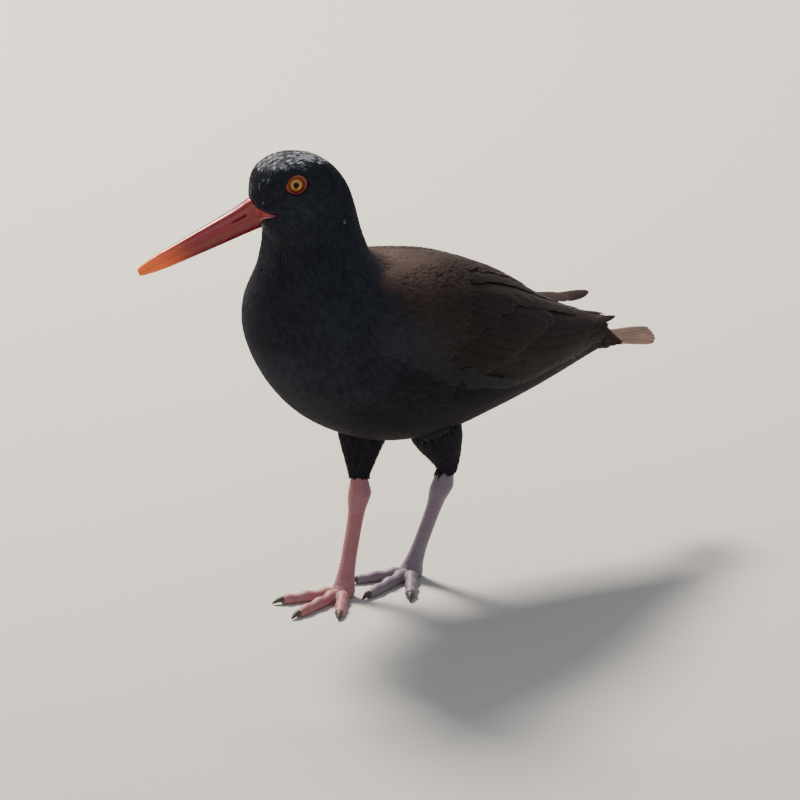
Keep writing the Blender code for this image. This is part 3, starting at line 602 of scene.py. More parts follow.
def surfaced(shader, add, colour, share=None, height=None, strength=0.0, depth=0.2):
    """Feeds a shader a colour, times a share, and a bump up to so many millimetres deep."""
    if share is not None:
        colour = add("VectorMath", {0: colour, "Scale": share}, operation="SCALE")
    feed(shader, {"Base Color": colour})
    if height is not None:
        bump = add("Bump", {"Height": height, "Strength": strength, "Distance": depth * MM})
        feed(shader, {"Normal": bump})


def plumage(add, settings):
    """The markings that skin and coat share: blue-black head and breast, brown back, brown-black belly, and a
    pale sheen painted on the sunlit crown.
    """
    names = ("belly", "silver", "brown")
    belly, silver, brown = (add("Attribute", output="Fac", attribute_name=name) for name in names)
    black = add("Mix", {0: belly, 6: (*settings.head, 1), 7: (*settings.belly, 1)}, 2, data_type="RGBA")
    # Painted sheen: a pale grey-blue laid on the crown's feathers where sunlight glances off them
    black = add("Mix", {0: silver, 6: black, 7: (*settings.crown, 1)}, 2, data_type="RGBA")
    mixed = add("Mix", {0: brown, 6: black, 7: (*settings.back, 1)}, 2, data_type="RGBA")
    # Wear and bleaching vary over patches of 25 mm
    return mixed, mottled(add, 25.0, 3.0, 0.8, 1.2)[1]


def vane_marks(add, edge_from, tip_from, slant, barbs):
    """Marks of one vane: its tone, the distance from its shaft, its worn edge, and the wave of its barbs."""
    tone = add("Attribute", output="Fac", attribute_name="tone")
    across, far, _ = add("SeparateXYZ", (add("UVMap", uv_map="Vane"),)).node.outputs
    middle = add("Math", (across, 0.5), operation="SUBTRACT")
    off = add("Math", (middle,), operation="ABSOLUTE")
    edge = add("MapRange", (off, edge_from, 0.5))
    tip = add("MapRange", (far, tip_from, 1.0))
    worn = add("Math", (edge, tip), operation="MAXIMUM")
    slanted = add("Math", (off, -slant, far), operation="MULTIPLY_ADD")
    wave = add("Math", (slanted, 2 * math.pi * barbs), operation="MULTIPLY")
    return tone, off, worn, add("Math", (wave,), operation="SINE")


def feather_material(name, settings, gloss):
    """Keratin vanes of small feathers: a soft dark surface with paler worn edges, some vanes smoother."""
    material, shader, add = started(name, {"IOR": 1.54, "Specular IOR Level": gloss})
    mixed, share = plumage(add, settings)
    # Real barbs are 0.2 mm apart, and twelve on a vane are drawn, so that they show
    tone, _, worn, barbs = vane_marks(add, 0.36, 0.82, 1.4, 11.94)
    lift = add("Math", (tone, 0.45, 0.8), operation="MULTIPLY_ADD")
    light = add("Math", (worn, 0.2, lift), operation="MULTIPLY_ADD")
    light = add("Math", (light, share), operation="MULTIPLY")
    surfaced(shader, add, mixed, light, barbs, 0.25, 0.1)
    feed(shader, {"Roughness": add("MapRange", (tone, 0.0, 1.0, 0.48, 0.66))})
    return material


def skin_material(settings):
    """Skin under the coat, with the coat's own markings a little darker, as the shade between feathers is."""
    material, shader, add = started("skin_under_feathers", {"Roughness": 0.7, "IOR": 1.45})
    mixed, share = plumage(add, settings)
    surfaced(shader, add, mixed, add("Math", (share, 0.8), operation="MULTIPLY"))
    return material


def quill_material(name, base, settings, wear):
    """Stiff vanes of wing and tail: close barbs with a dull satin gloss, a darker shaft, edges worn pale."""
    material, shader, add = started(name, {"Roughness": 0.52, "IOR": 1.54, "Specular IOR Level": 0.06})
    # Real barbs are 0.3 mm apart, and are drawn about 1 mm apart, so that they show
    tone, off, worn, barbs = vane_marks(add, 0.42 - 0.14 * wear, 0.93, 0.5, 41.38)
    shaft = add("MapRange", (off, 0.02, 0.05 + 0.05 * wear, 0.6 - 0.3 * wear, 1.0))
    _, share = mottled(add, 11.11, 4.0, 0.8, 1.2)
    lift = add("Math", (tone, 0.6, 0.7), operation="MULTIPLY_ADD")
    light = add("Math", (share, lift), operation="MULTIPLY")
    light = add("Math", (light, shaft), operation="MULTIPLY")
    body = add("VectorMath", {0: tuple(base), "Scale": light}, operation="SCALE")
    pale = add("Math", (worn, wear), operation="MULTIPLY")
    colour = add("Mix", {0: pale, 6: body, 7: (*settings.worn, 1)}, 2, data_type="RGBA")
    surfaced(shader, add, colour, None, barbs, 0.3, 0.1)
    return material


def bill_material(settings):
    """Horn sheath of the bill: satin keratin that lets red light into it, orange towards the tip, with
    painted
    shade: darker red on its lower side and darker in the nostril's groove.
    """
    sockets = {"IOR": 1.54, "Coat Weight": 0.2, "Coat Roughness": 0.12, "Subsurface Weight": 0.35}
    sockets |= {"Subsurface Radius": (1.0, 0.3, 0.12), "Subsurface Scale": 3 * MM}
    material, shader, add = started("bill_horn", sockets)
    names = ("out", "low", "groove")
    out, low, groove = (add("Attribute", output="Fac", attribute_name=name) for name in names)
    tip = add("MapRange", (out, 0.5, 0.9), interpolation_type="SMOOTHSTEP")
    # Painted shade: the lower side of the bill is mixed towards a darker red, where shade falls on it
    painted_low_shade = add("MapRange", (low, 0.2, 1.0, 0.0, 0.75))
    red = add("Mix", {0: painted_low_shade, 6: (*settings.red, 1), 7: (*settings.shade, 1)}, 2, data_type="RGBA")
    colour = add("Mix", {0: tip, 6: red, 7: (*settings.tip, 1)}, 2, data_type="RGBA")
    streak, fleck = mottled(add, 6.25, 2.0, 0.95, 1.05)
    # Painted shade darkens the colour in the nostril's groove
    depth = add("Math", (groove, -0.45, fleck), operation="MULTIPLY_ADD")
    surfaced(shader, add, colour, depth, streak, 0.06)
    feed(shader, {"Roughness": add("MapRange", (streak, 0.3, 0.7, 0.25, 0.33))})
    return material


def eye_material(settings):
    """A wet eyeball: clear cornea, yellow iris with an orange-brown rim, and a black pupil with a fleck."""
    sockets = {"Roughness": 0.3, "IOR": 1.38, "Specular IOR Level": 0.1}
    sockets |= {"Coat Weight": 0.5, "Coat Roughness": 0.02, "Coat IOR": 1.38}
    material, shader, add = started("wet_eye", sockets)
    # The eye's coordinates are 10 mm across, so the iris has a grain of 0.17 mm
    face = add("UVMap", uv_map="Iris")
    around = add("VectorMath", (face, (0.5, 0.5, 0.0)), operation="SUBTRACT")
    reach = add("VectorMath", (around,), "Value", operation="LENGTH")
    grain = add("TexNoise", {"Vector": face, "Scale": 60.0, "Detail": 3.0})
    loose = add("Math", (grain, 0.035, -0.0175), operation="MULTIPLY_ADD")
    radius = add("Math", (reach, loose), operation="ADD")
    ramp = add("ValToRGB", (radius,))
    stops = ramp.node.color_ramp.elements
    stops[0].color = stops[1].color = (*settings.iris, 1)
    stops[1].position = 0.27
    for position, shade in ((0.31, settings.iris_rim), (0.40, settings.iris_rim), (0.44, linear("4a1c0c"))):
        stops.new(position).color = (*shade, 1)
    # The pupil is 3.3 mm across, with a dark fleck on its lower front edge
    pupil = add("MapRange", (reach, 0.155, 0.175))
    beside = add("VectorMath", (around, (0.08, -0.13, 0.0)), operation="SUBTRACT")
    far = add("VectorMath", (beside,), "Value", operation="LENGTH")
    fleck = add("MapRange", (far, 0.075, 0.1))
    dark = add("Math", (pupil, fleck), operation="MINIMUM")
    surfaced(shader, add, add("Mix", {0: dark, 6: (*linear("020202"), 1), 7: ramp}, 2, data_type="RGBA"))
    return material


def lid_material(settings):
    """Bare fleshy lid: moist orange-red skin with fine folds, letting light through its edge."""
    sockets = {"Roughness": 0.42, "IOR": 1.4, "Subsurface Weight": 0.3}
    sockets |= {"Subsurface Radius": (1.0, 0.3, 0.15), "Subsurface Scale": 1 * MM}
    material, shader, add = started("bare_lid", sockets)
    grain, share = mottled(add, 0.667, 3.0, 0.8, 1.15)
    surfaced(shader, add, (*settings.lid,), share, grain, 0.4)
    return material


def leg_material(name, colour, flush_and_painted_sun, settings):
    """Bare leg skin: pale flesh under small dry scales, rings of scutes in front and a fine net beside."""
    sockets = {"Roughness": 0.5, "IOR": 1.45, "Subsurface Weight": 0.3}
    sockets |= {"Subsurface Radius": (1.0, 0.35, 0.2), "Subsurface Scale": 2 * MM}
    material, shader, add = started(name, sockets)
    _, tone = mottled(add, 7.69, 4.0, 0.0, flush_and_painted_sun, 0.35, 0.75)
    mixed = add("Mix", {0: tone, 6: (*colour, 1), 7: (*settings.flush, 1)}, 2, data_type="RGBA")
    # Net of scales about 1.3 mm wide
    place = add("TexCoord", output="Object")
    net = add("TexVoronoi", {"Vector": place, "Scale": 1 / (1.316 * MM)}, feature="DISTANCE_TO_EDGE")
    groove = add("MapRange", (net, 0.0, 0.16))
    ring, front = (add("Attribute", output="Fac", attribute_name=mark) for mark in ("ring", "front"))
    turns = add("Math", (ring, 2 * math.pi / SCUTE_PITCH), operation="MULTIPLY")
    wave = add("Math", (turns,), operation="SINE")
    scute = add("MapRange", (wave, -1.0, -0.4))
    relief = add("Mix", {0: front, 2: groove, 3: scute})
    surfaced(shader, add, mixed, add("MapRange", (relief, 0.0, 1.0, 0.92, 1.03)), relief, 0.4)
    return material


def claw_material(settings):
    """Claw horn: dark and dull, with fine wear."""
    material, shader, add = started("claw_horn", {"Roughness": 0.55, "IOR": 1.54})
    grain, share = mottled(add, 1.43, 4.0, 0.7, 1.5)
    surfaced(shader, add, (*settings.claw,), share, grain, 0.3)
    return material


# Feathers


def small_feather(rows, tips):
    """One small feather along +Y, 1 wide and long: its vertices, closed triangles and vane coordinates."""
    bm = bmesh.new()
    bmesh.ops.create_grid(bm, x_segments=len(tips) - 1, y_segments=rows, size=0.5)
    flat = []
    for vert in bm.verts:
        x, y = vert.co.x * 2, vert.co.y + 0.5
        flat.append((x / 2 + 0.5, y))
        wide = table([(0.0, 0.25), (0.35, 0.9), (0.7, 1.0), (1.0, 0.62)], y)
        notch = tips[round((x + 1) / 2 * (len(tips) - 1))]
        vert.co = (x * wide, y - notch * step(y, 0.6, 1.0), (1 - abs(x) ** 1.5) * (1 - 0.75 * y))
    bmesh.ops.holes_fill(bm, edges=[e for e in bm.edges if e.is_boundary], sides=0)
    bmesh.ops.recalc_face_normals(bm, faces=bm.faces)
    bmesh.ops.triangulate(bm, faces=bm.faces)
    form = np.array([v.co for v in bm.verts])
    faces = np.array([[v.index for v in f.verts] for f in bm.faces])
    bm.free()
    return form, faces, np.array(flat)


def tree_of(points):
    """A search tree of points."""
    tree = KDTree(len(points))
    for i, point in enumerate(points):
        tree.insert(point, i)
    tree.balance()
    return tree


def scattered(place, a_range, b_range, pitch, rng, cells=160, crowd=6):
    """Places on a surface, a pitch apart: pitch(a, b) gives it in millimetres."""
    (wide_a, wide_b) = ((last - first) / cells for first, last in (a_range, b_range))
    grid = (np.linspace(*ends, cells, endpoint=False) for ends in (a_range, b_range))
    a, b = (v.ravel() for v in np.meshgrid(*grid, indexing="ij"))
    here = place(a, b, 0 * a)
    sides = place(a + wide_a, b, 0 * a) - here, place(a, b + wide_b, 0 * a) - here
    area = np.linalg.norm(np.cross(*sides), axis=-1)
    weight = area / pitch(a, b) ** 2
    many = int(weight.sum() * crowd)
    chosen = rng.choice(len(a), many, p=weight / weight.sum())
    a, b = a[chosen] + rng.random(many) * wide_a, b[chosen] + rng.random(many) * wide_b
    points, room = place(a, b, 0 * a), pitch(a, b)
    tree = tree_of(points)
    free, kept = np.ones(many, dtype=bool), []
    for i, point in enumerate(points):
        if free[i]:
            kept.append(i)
            free[[j for _, j, _ in tree.find_range(point, room[i])]] = False
    return a[kept], b[kept]


def laid(form, place, a, b, *shape):
    """Small feathers laid on a surface from their roots at (a, b), low at the root and high at the tip."""
    per_a, per_b = (
        0.02 / np.linalg.norm(place(a + e, b + f, 0 * a) - place(a - e, b - f, 0 * a), axis=-1)
        for e, f in ((0.01, 0.0), (0.0, 0.01))
    )
    length, half, low, high, thick, yaw, roll = (np.broadcast_to(v, a.shape)[:, None] for v in shape)
    wide, q, height = form.T[:, None]
    x, y = wide * half, q * length
    c, s = np.cos(yaw), np.sin(yaw)
    x, y = c * x - s * y, s * x + c * y
    lift = low * (1 - q) ** 1.3 + high * q + height * thick
    lift += roll * wide
    return place(a[:, None] + y * per_a[:, None], b[:, None] + x * per_b[:, None], lift)


def coat_piece(name, feather, place, a, b, shape, roots, values, look):
    """One piece of the coat. The shape has its feathers' length, half width, lift at the root and at the tip,
    thickness, yaw and roll, the roots are their places on the skin's unwrap, and the look has a material and
    a slot, which is not used."""
    form, faces, vane = feather
    points = laid(form, place, a, b, *shape)
    count, corners = points.shape[:2]
    triangles = (faces[None] + np.arange(count)[:, None, None] * corners).reshape(-1, 3)
    mesh = bpy.data.meshes.new(name)
    mesh.vertices.add(count * corners)
    mesh.vertices.foreach_set("co", ((points.reshape(-1, 3) + SHIFT) * MM).astype(np.float32).ravel())
    mesh.loops.add(triangles.size)
    mesh.loops.foreach_set("vertex_index", triangles.ravel().astype(np.int32))
    mesh.polygons.add(len(triangles))
    mesh.polygons.foreach_set("loop_start", np.arange(0, triangles.size, 3, dtype=np.int32))
    mesh.update(calc_edges=True)
    patch = roots[:, None] + (vane[None] - 0.5) * TUFT
    for layer, flat in (("OFBake", patch.reshape(-1, 2)), ("Vane", np.tile(vane, (count, 1)))):
        corners_flat = flat[triangles.ravel()].astype(np.float32).ravel()
        mesh.uv_layers.new(name=layer).data.foreach_set("uv", corners_flat)
    write_values(mesh, {key: np.repeat(np.broadcast_to(v, count), corners) for key, v in values.items()})
    mesh.validate()
    finished(name, mesh, look[0], slot=look[1], smooth=70.0)


def markings(s, angle):
    """How brown a place of the trunk is, how much it has of the belly's colour, and how much of the pale
    sheen painted where sunlight glances off the crown.
    """
    off = aside(angle)
    border = MANTLE - 0.9 + 2.9 * step(off, 52, 84) + 14.0 * step(off, 84, 108)
    return {
        "brown": step(s, border - 0.5, border + 0.9) * (1 - 0.6 * step(off, 60, 100)),
        "belly": step(s, 13.0, 17.5) * step(off, 50, 100),
        # Painted sheen on the sunlit crown, reaching down its sides as far as the sun falls
        "silver": step(table(PAINTED_SHEEN_REACH, s) - off, -7.0, 5.0),
    }


def unwrapped(s, turn):
    """A place of the trunk on the skin's unwrap, turn going from 0 to 1 round it from under its belly."""
    return stacked(EDGE + 0.78 * s / 25, EDGE + 0.98 * turn)


def thigh_unwrapped(q, turn, side):
    """A place of a thigh on the skin's unwrap, turn going from 0 to 1 round it."""
    return stacked({"left": 0.81, "right": 0.905}[side] + 0.08 * turn, EDGE + 0.9 * q)


def in_cell(k, across, far):
    """A place in one of the squares that long feathers are baked to."""
    column, row = EDGE + CELL_PITCH * (k % CELLS_ACROSS), EDGE + CELL_PITCH * (k // CELLS_ACROSS)
    return stacked(column + CELL * across, row + CELL * far)


def add_vane(bm, place, root, tip, half, lift, tilt, tone, cell, rng, shape=ROUNDED_VANE, rows=16):
    """A long feather's vane on a surface, with its shaft as a low ridge."""
    wave = rng.uniform(-0.06, 0.06)

    def share_along(share):
        return 1 - (1 - share) ** 1.35

    def lay(share, across):
        q, x = share_along(share), across * 2 - 1
        u, v = root[0] * (1 - q) + tip[0] * q, root[1] * (1 - q) + tip[1] * q
        per_mm = 0.02 / np.linalg.norm(place(u, v + 0.01, 0 * u) - place(u, v - 0.01, 0 * u), axis=-1)
        level = lift * q - 1.7 * (1 - q) ** 2
        height = level + 0.2 * (1 - np.abs(x)) ** 1.5 + tilt * x - 0.2 * x * x + wave * np.sin(q * 5)
        return place(u, v + x * half * table(shape, q) * per_mm, height)

    made = sheet(
        bm,
        rows,
        8,
        lay,
        Vane=lambda share, across: stacked(across, share_along(share)),
        OFBake=lambda share, across: in_cell(cell, across, share),
    )
    for vert in made:
        vert[bm.verts.layers.float["tone"]] = tone


def vane_piece(name, bm, thickness, material, replaced):
    """An object from open vanes, given their thickness inwards."""
    bmesh.ops.recalc_face_normals(bm, faces=bm.faces)
    bmesh.ops.solidify(bm, geom=bm.faces[:], thickness=thickness)
    piece(name, bm, material, [replaced], "brown_feathers", smooth=50.0)


# Settings


def colour(name, description, code):
    """A colour that a user may change."""
    options = {"default": linear(code), "subtype": "COLOR", "min": 0, "max": 1}
    return FloatVectorProperty(name=name, description=description, **options)


class PlumageSettings(bpy.types.PropertyGroup):
    """Colours and sizes of the feathers."""

    head: colour("Head", "Head, neck and breast feathers", "27292f")
    back: colour("Back", "Back feathers", "2e2421")
    # Painted sheen: the pale colour painted on the sunlit crown's black feathers, and on a few pale flecks
    crown: colour("Crown", "Silvery crown feathers", "7e8189")
    belly: colour("Belly", "Belly and thigh feathers", "252327")
    wing: colour("Wing", "Long feathers of the folded wings", "2b2321")
    tail: colour("Tail", "Bleached tail feathers", "6a574e")
    worn: colour("Worn edges", "Bleached edges of long feathers", "8c7a6c")
    fineness: FloatProperty(
        name="Fineness", description="Distance between roots, as a factor", default=1.0, min=0.7, max=3
    )
    seed: IntProperty(name="Seed", description="Start of the feathers' small irregularities", default=7)


class BillSettings(bpy.types.PropertyGroup):
    """Colours of the bill."""

    red: colour("Red", "Upper side of the bill", "951616")
    # Painted shade: the darker red painted on the lower side of the bill
    shade: colour("Shade", "Dusky red of the lower side", "601214")
    tip: colour("Tip", "Orange towards the tip", "ff6e24")


class EyeSettings(bpy.types.PropertyGroup):
    """Colours of the eyes."""

    iris: colour("Iris", "Inner iris", "bc9444")
    iris_rim: colour("Iris rim", "Outer iris", "94502a")
    lid: colour("Lid ring", "Bare ring of lids round the eye", "96443a")


class LegSettings(bpy.types.PropertyGroup):
    """Colours of the legs and claws."""

    # Painted light and shade: the left leg, on the shaded side, has a greyer, darker skin colour and the
    # right leg, in sunlight, a pinker, lighter one
    left: colour("Left leg", "Skin of the left leg", "766c78")
    right: colour("Right leg", "Skin of the right leg", "a26e74")
    flush: colour("Flush", "Pinker blotches of the leg skin", "a85c50")
    claw: colour("Claws", "Horn of the claws", "3e352f")
    scale: FloatProperty(
        name="Skin detail",
        description="Size of the legs' mesh cells",
        default=0.0005,
        unit="LENGTH",
        min=0.0003,
    )


class StageSettings(bpy.types.PropertyGroup):
    """Floor, light and camera."""

    floor: colour("Floor", "Plain pale floor", "cbc8c2")
    key: FloatProperty(
        name="Key light", description="Main light's strength", default=130.0, unit="POWER", min=0
    )
    distance: FloatProperty(
        name="Camera distance", description="From the camera to the bird", default=8.0, unit="LENGTH", min=1
    )


# Operators


class MakeSkin(bpy.types.Operator):
    """One skin for head, neck, torso and both thighs, a coat's depth inside the bird's form"""

    bl_idname = "oystercatcher.skin"
    bl_label = "Make skin"

    def execute(self, context):
        self.material = skin_material(context.scene.oystercatcher_plumage)
        body = self.flesh("skin", 150, 96, self.trunk, lambda t, a: unwrapped(t * TRUNK_END, a))
        parts = [self.thigh(side) for side in SIDES]
        parts.append(self.flesh("tail_flesh", 20, 36, tail_flesh, lambda t, a: unwrapped(24.1 + 0.7 * t, a)))
        group = bpy.data.collections.new("joined_flesh")
        for part in parts:
            context.scene.collection.objects.unlink(part)
            group.objects.link(part)
        context.scene.collection.children.link(group)
        operands = {"operand_type": "COLLECTION", "collection": group}
        settled(body, "BOOLEAN", operation="UNION", solver="EXACT", **operands)
        for part in parts:
            bpy.data.objects.remove(part)
        bpy.data.collections.remove(group)
        self.shape(body.data)
        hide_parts("head", "neck", "torso", "thigh_left", "thigh_right")
        return {"FINISHED"}

    def flesh(self, name, rows, columns, place, unwrap):
        """One closed form of the skin, before they are joined."""
        bm = new_bmesh("OFBake")
        sleeve(bm, rows, columns, place, OFBake=unwrap)
        return piece(name, bm, self.material)

    def trunk(self, t, a):
        """The skin under the trunk's coat, hollowed where the folded wings lie."""
        s, angle = t * TRUNK_END, a - 180
        return on_trunk(s, angle, -hollow(s, angle) - table(DEPTH, s))

    def thigh(self, side):
        """Skin of one thigh, a coat's depth under its feathers."""
        place, unwrap = on_thigh(side), partial(thigh_unwrapped, side=side)
        return self.flesh(f"thigh_skin_{side}", 40, 36, lambda t, a: place(t, a, -THIGH_COAT), unwrap)

    def shape(self, mesh):
        """Sinks the skin under the lid rings, folds it round them, and marks it as the coat is marked."""
        points = places_of(mesh)
        for side in SIDES.values():
            outside, height = from_eye(points, side)
            near = (height > 0) & (outside < 3.0)
            dish = 2.0 * (1 - step(outside, 0.2, 2.6))
            fold = 0.25 * np.sin(outside * 3.4) * step(outside, 0.4, 1.2) * (1 - step(outside, 2.2, 3.0))
            lower = np.where(outside < 0.2, np.minimum(height, 2.0), height - dish) + fold
            points += np.where(near, lower - height, 0.0)[:, None] * eye_axes(side)[3]
        move_to(mesh, points)
        grid = np.meshgrid(np.linspace(0, TRUNK_END, 240), np.arange(-180, 180, 2.5), indexing="ij")
        s, angle = (v.ravel() for v in grid)
        tree = tree_of(outline(s, angle))
        nearest = [tree.find(point)[1] for point in points]
        write_values(mesh, markings(s[nearest], angle[nearest]))


class MakeCoat(bpy.types.Operator):
    """Small feathers of the head, neck, back, wing bends, breast, belly, tail root and thighs"""

    bl_idname = "oystercatcher.coat"
    bl_label = "Make coat"

    def execute(self, context):
        settings = context.scene.oystercatcher_plumage
        rng, fine = np.random.default_rng(settings.seed), settings.fineness
        black = feather_material("soft_black_feathers", settings, 0.015), "black_feathers"
        brown = feather_material("worn_back_feathers", settings, 0.1), "brown_feathers"
        narrow, broad = small_feather(3, (0.24, 0.0, 0.16)), small_feather(4, (0.2, 0.03, 0.0, 0.17))
        s, angle, shape, values = self.of_trunk(fine, rng)
        roots = unwrapped(s, (angle + 180) / 360)
        front = aside(angle) > 100
        parts = {
            "head_feathers": (s < 5, narrow, black),
            "nape_and_throat_feathers": ((s >= 5) & (s < 9), narrow, black),
            "neck_feathers": ((s >= 9) & (s < MANTLE), broad, black),
            "breast_feathers": ((s >= MANTLE) & front & (s < 17), broad, black),
            "belly_feathers": ((s >= 17) & front, broad, black),
            "back_and_covert_feathers": ((s >= MANTLE) & ~front, broad, brown),
        }
        for name, (part, feather, look) in parts.items():
            marks = {key: value[part] for key, value in values.items()}
            places = s[part], angle[part], [v[part] for v in shape]
            coat_piece(name, feather, on_trunk, *places, roots[part], marks, look)
        for side in SIDES:
            self.thigh(side, broad, black, fine, rng)
        for over in (True, False):
            self.tail_root(over, broad, brown, fine, rng)
        return {"FINISHED"}

    def of_trunk(self, fine, rng):
        """Stations, angles, shape and marks of every small feather of the trunk."""

        def pitch(s, angle):
            near = np.full(np.shape(s), 9.0)
            for side in SIDES.values():
                outside, height = from_eye(outline(s, angle), side)
                near = np.minimum(near, np.maximum(outside, 0) + 20 * (height < -2))
            return table(PITCH, s) * fine * (1 - 0.35 * np.exp(-((near / 3.0) ** 2)))

        s, angle = scattered(on_trunk, (0.02, 24.1), (-180.0, 180.0), pitch, rng)
        u, inside = wing_inside(s, angle)
        margin = np.where(aside(angle) > 55, 4.0 + 9.0 * (1 - step(u, 0.35, 0.6)), 7.0)
        under_vanes = (u > COVERTS_END) & (inside > margin) & (u < 0.55)
        kept = ~(on_bill(outline(s, angle)) | under_vanes)
        s, angle = s[kept], angle[kept]
        size = pitch(s, angle)
        length = size * table(LENGTH, s) * rng.uniform(0.85, 1.15, len(s))
        length = self.clear_of_eyes(s, angle, length * (1 - 0.4 * step(s, 23.2, TRUNK_END + 0.1)))
        kept = length > 0.5
        s, angle, size, length = (v[kept] for v in (s, angle, size, length))
        n, off = len(s), aside(angle)
        half = size * 0.95 * rng.uniform(0.9, 1.1, n)
        u, inside = wing_inside(s, angle)
        over = np.where(off > 55, 1.4, 1.1) * step(inside, -14.0, -2.0)
        over = over * step(u, -0.05, 0.04) * (1 - step(u, 0.5, 0.62))
        under = hollow(s, angle) * step(u, 0.5, 0.6)
        low = -table([(9.0, 0.35), (14.0, 0.22)], s) * table(DEPTH, s) + 0.8 * over - under
        loose = table(LOOSE, s)
        high = 0.05 + rng.uniform(-0.5, 1.0, n) * loose * size + over - under
        high -= 9.0 * np.maximum(s + length / 18.0 - TRUNK_END, 0.0)
        yaw = rng.normal(0.0, 0.07, n)
        roll = rng.normal(0.0, 1.0, n) * loose * size
        tone = rng.random(n)
        marks = markings(s + rng.normal(0.0, 0.22, n), angle)
        # A few pale flecks on the face and neck, and the crown's painted sheen glinting brighter on some
        # feathers than on others
        few = 0.13 * (1 - step(s, 1.8, 3.0)) * (1 - step(off, 22, 44)) + 0.006 * (s < 9.0)
        fleck = 0.45 * (rng.random(n) < few) * (off < 70)
        marks["silver"] = np.maximum(marks["silver"] * (0.08 + 1.3 * tone**2), fleck)
        # Painted light: the mantle's first feathers, on top just behind the neck, are made the palest, for
        # sunlight on the shoulder
        marks["tone"] = tone + 3.0 * marks["brown"] * (1 - step(s, 13.2, 16.5)) * (1 - step(off, 35, 75))
        return s, angle, (length, half, low, high, 0.04 + 0.03 * size, yaw, roll), marks

    def clear_of_eyes(self, s, angle, length):
        """Lengths of feathers cut short at the lid rings, or to nothing where they start on one."""
        rate = 20 * np.linalg.norm(outline(s + 0.025, angle) - outline(s - 0.025, angle), axis=-1)
        for side in SIDES.values():
            for share in np.linspace(1.0, 0.0, 9):
                outside, height = from_eye(outline(s + share * length / rate, angle), side)
                length = np.where((outside < 0.05) & (height > -2), length * max(share - 0.125, 0.0), length)
        return length

    def thigh(self, side, feather, look, fine, rng):
        """Feathers of one thigh, down to the ragged hem over the bare leg."""
        place = on_thigh(side)
        q, angle = scattered(place, (0.0, 1.0), (0.0, 360.0), lambda a, b: (2.1 - 1.3 * a) * fine, rng)
        n, size = len(q), (2.1 - 1.1 * q) * fine
        length = size * (4.0 - 1.8 * step(q, 0.75, 1.0)) * rng.uniform(0.85, 1.15, n)
        high = 0.2 + rng.uniform(-0.1, 0.15, n)
        shape = length, size * 0.8, -1.0, high, 0.2, rng.normal(0.0, 0.12, n), rng.normal(0.0, 0.06, n)
        values = {"tone": rng.random(n), "brown": 0.0, "belly": 1.0}
        roots = thigh_unwrapped(q, angle / 360, side)
        coat_piece(f"thigh_feathers_{side}", feather, place, q, angle, shape, roots, values, look)

    def tail_root(self, over, feather, look, fine, rng):
        """Coverts that run out over or under the tail."""
        place = tail_cover(over)
        q, angle = scattered(place, (-0.2, 0.18), (-89.0, 89.0), lambda a, b: 1.8 * fine + 0 * a, rng)
        n = len(q)
        length, high = 7.5 * rng.uniform(0.85, 1.15, n), 0.6 + rng.uniform(-0.1, 0.2, n)
        shape = length, 2.2, -1.0, high, 0.2, rng.normal(0.0, 0.08, n), rng.normal(0.0, 0.08, n)
        values = {"tone": 0.8 + rng.random(n), "brown": 1.0 if over else 0.5, "belly": 1.0}
        roots = unwrapped(TRUNK_END + q, (angle + (180 if over else 0)) % 360 / 360)
        name = "upper_tail_coverts" if over else "under_tail_coverts"
        coat_piece(name, feather, place, q, angle, shape, roots, values, look)


class MakeWings(bpy.types.Operator):
    """Both folded wings: a core under tiers of long feathers"""

    bl_idname = "oystercatcher.wings"
    bl_label = "Make wings"

    def execute(self, context):
        settings = context.scene.oystercatcher_plumage
        rng = np.random.default_rng(settings.seed + 1)
        material = quill_material("wing_quills", settings.wing, settings, 0.04)
        for side, sign in SIDES.items():
            bm = new_bmesh("OFBake", "Vane")
            bm.verts.layers.float.new("tone")
            self.core(bm, on_wing(sign))
            cells = itertools.count(1)
            for name, tier in WING_TIERS.items():
                self.tier(bm, sign, tier, POINTED_VANE if name == "primaries" else ROUNDED_VANE, cells, rng)
            vane_piece(f"folded_wing_{side}", bm, WING_VANE_THICK, material, f"wing_{side}")
        return {"FINISHED"}

    def tier(self, bm, sign, tier, shape, cells, rng):
        """One tier of a wing's vanes, those low on the wing darker and the tip of the wing paler as painted
        light, most on the far right wing.
        """
        count, *ends, tilt = tier
        first, last = (np.hstack(ends[k::2]) for k in (0, 1))
        for share in np.linspace(0, 1, count):
            *places, half, lift = first * (1 - share) + last * share
            root, tip = places[:2], places[2:] + rng.normal(0, 0.006, 2)
            tone = (0.3 + 0.7 * rng.random()) * (1 - 0.75 * float(step(root[1] + tip[1], 0.5, 1.6)))
            # Painted light: the wing's tip is made paler, the right wing's far more, for sunlight on the far
            # wing and a sheen on the near one
            tone += (0.5 if sign > 0 else 1.8) * float(step(tip[0], 0.82, 0.94))
            add_vane(bm, on_wing(sign), root, tip, half, lift, tilt, tone, next(cells), rng, shape)

    def core(self, bm, place):
        """The wing's soft body under its vanes, deepest at its edges."""

        def lay(u, v):
            edge = np.minimum(step(v, -0.02, 0.16), step(v, 1.02, 0.84)) * step(u, -0.03, 0.1)
            return place(u * CORE_END, v, -1.0 - 2.5 * (1 - edge))

        made = sheet(
            bm,
            30,
            16,
            lay,
            Vane=lambda u, v: stacked(0.3 + 0 * u, 0.4),
            OFBake=lambda u, v: in_cell(0, v, u),
        )
        for vert in made:
            vert[bm.verts.layers.float["tone"]] = 0.3


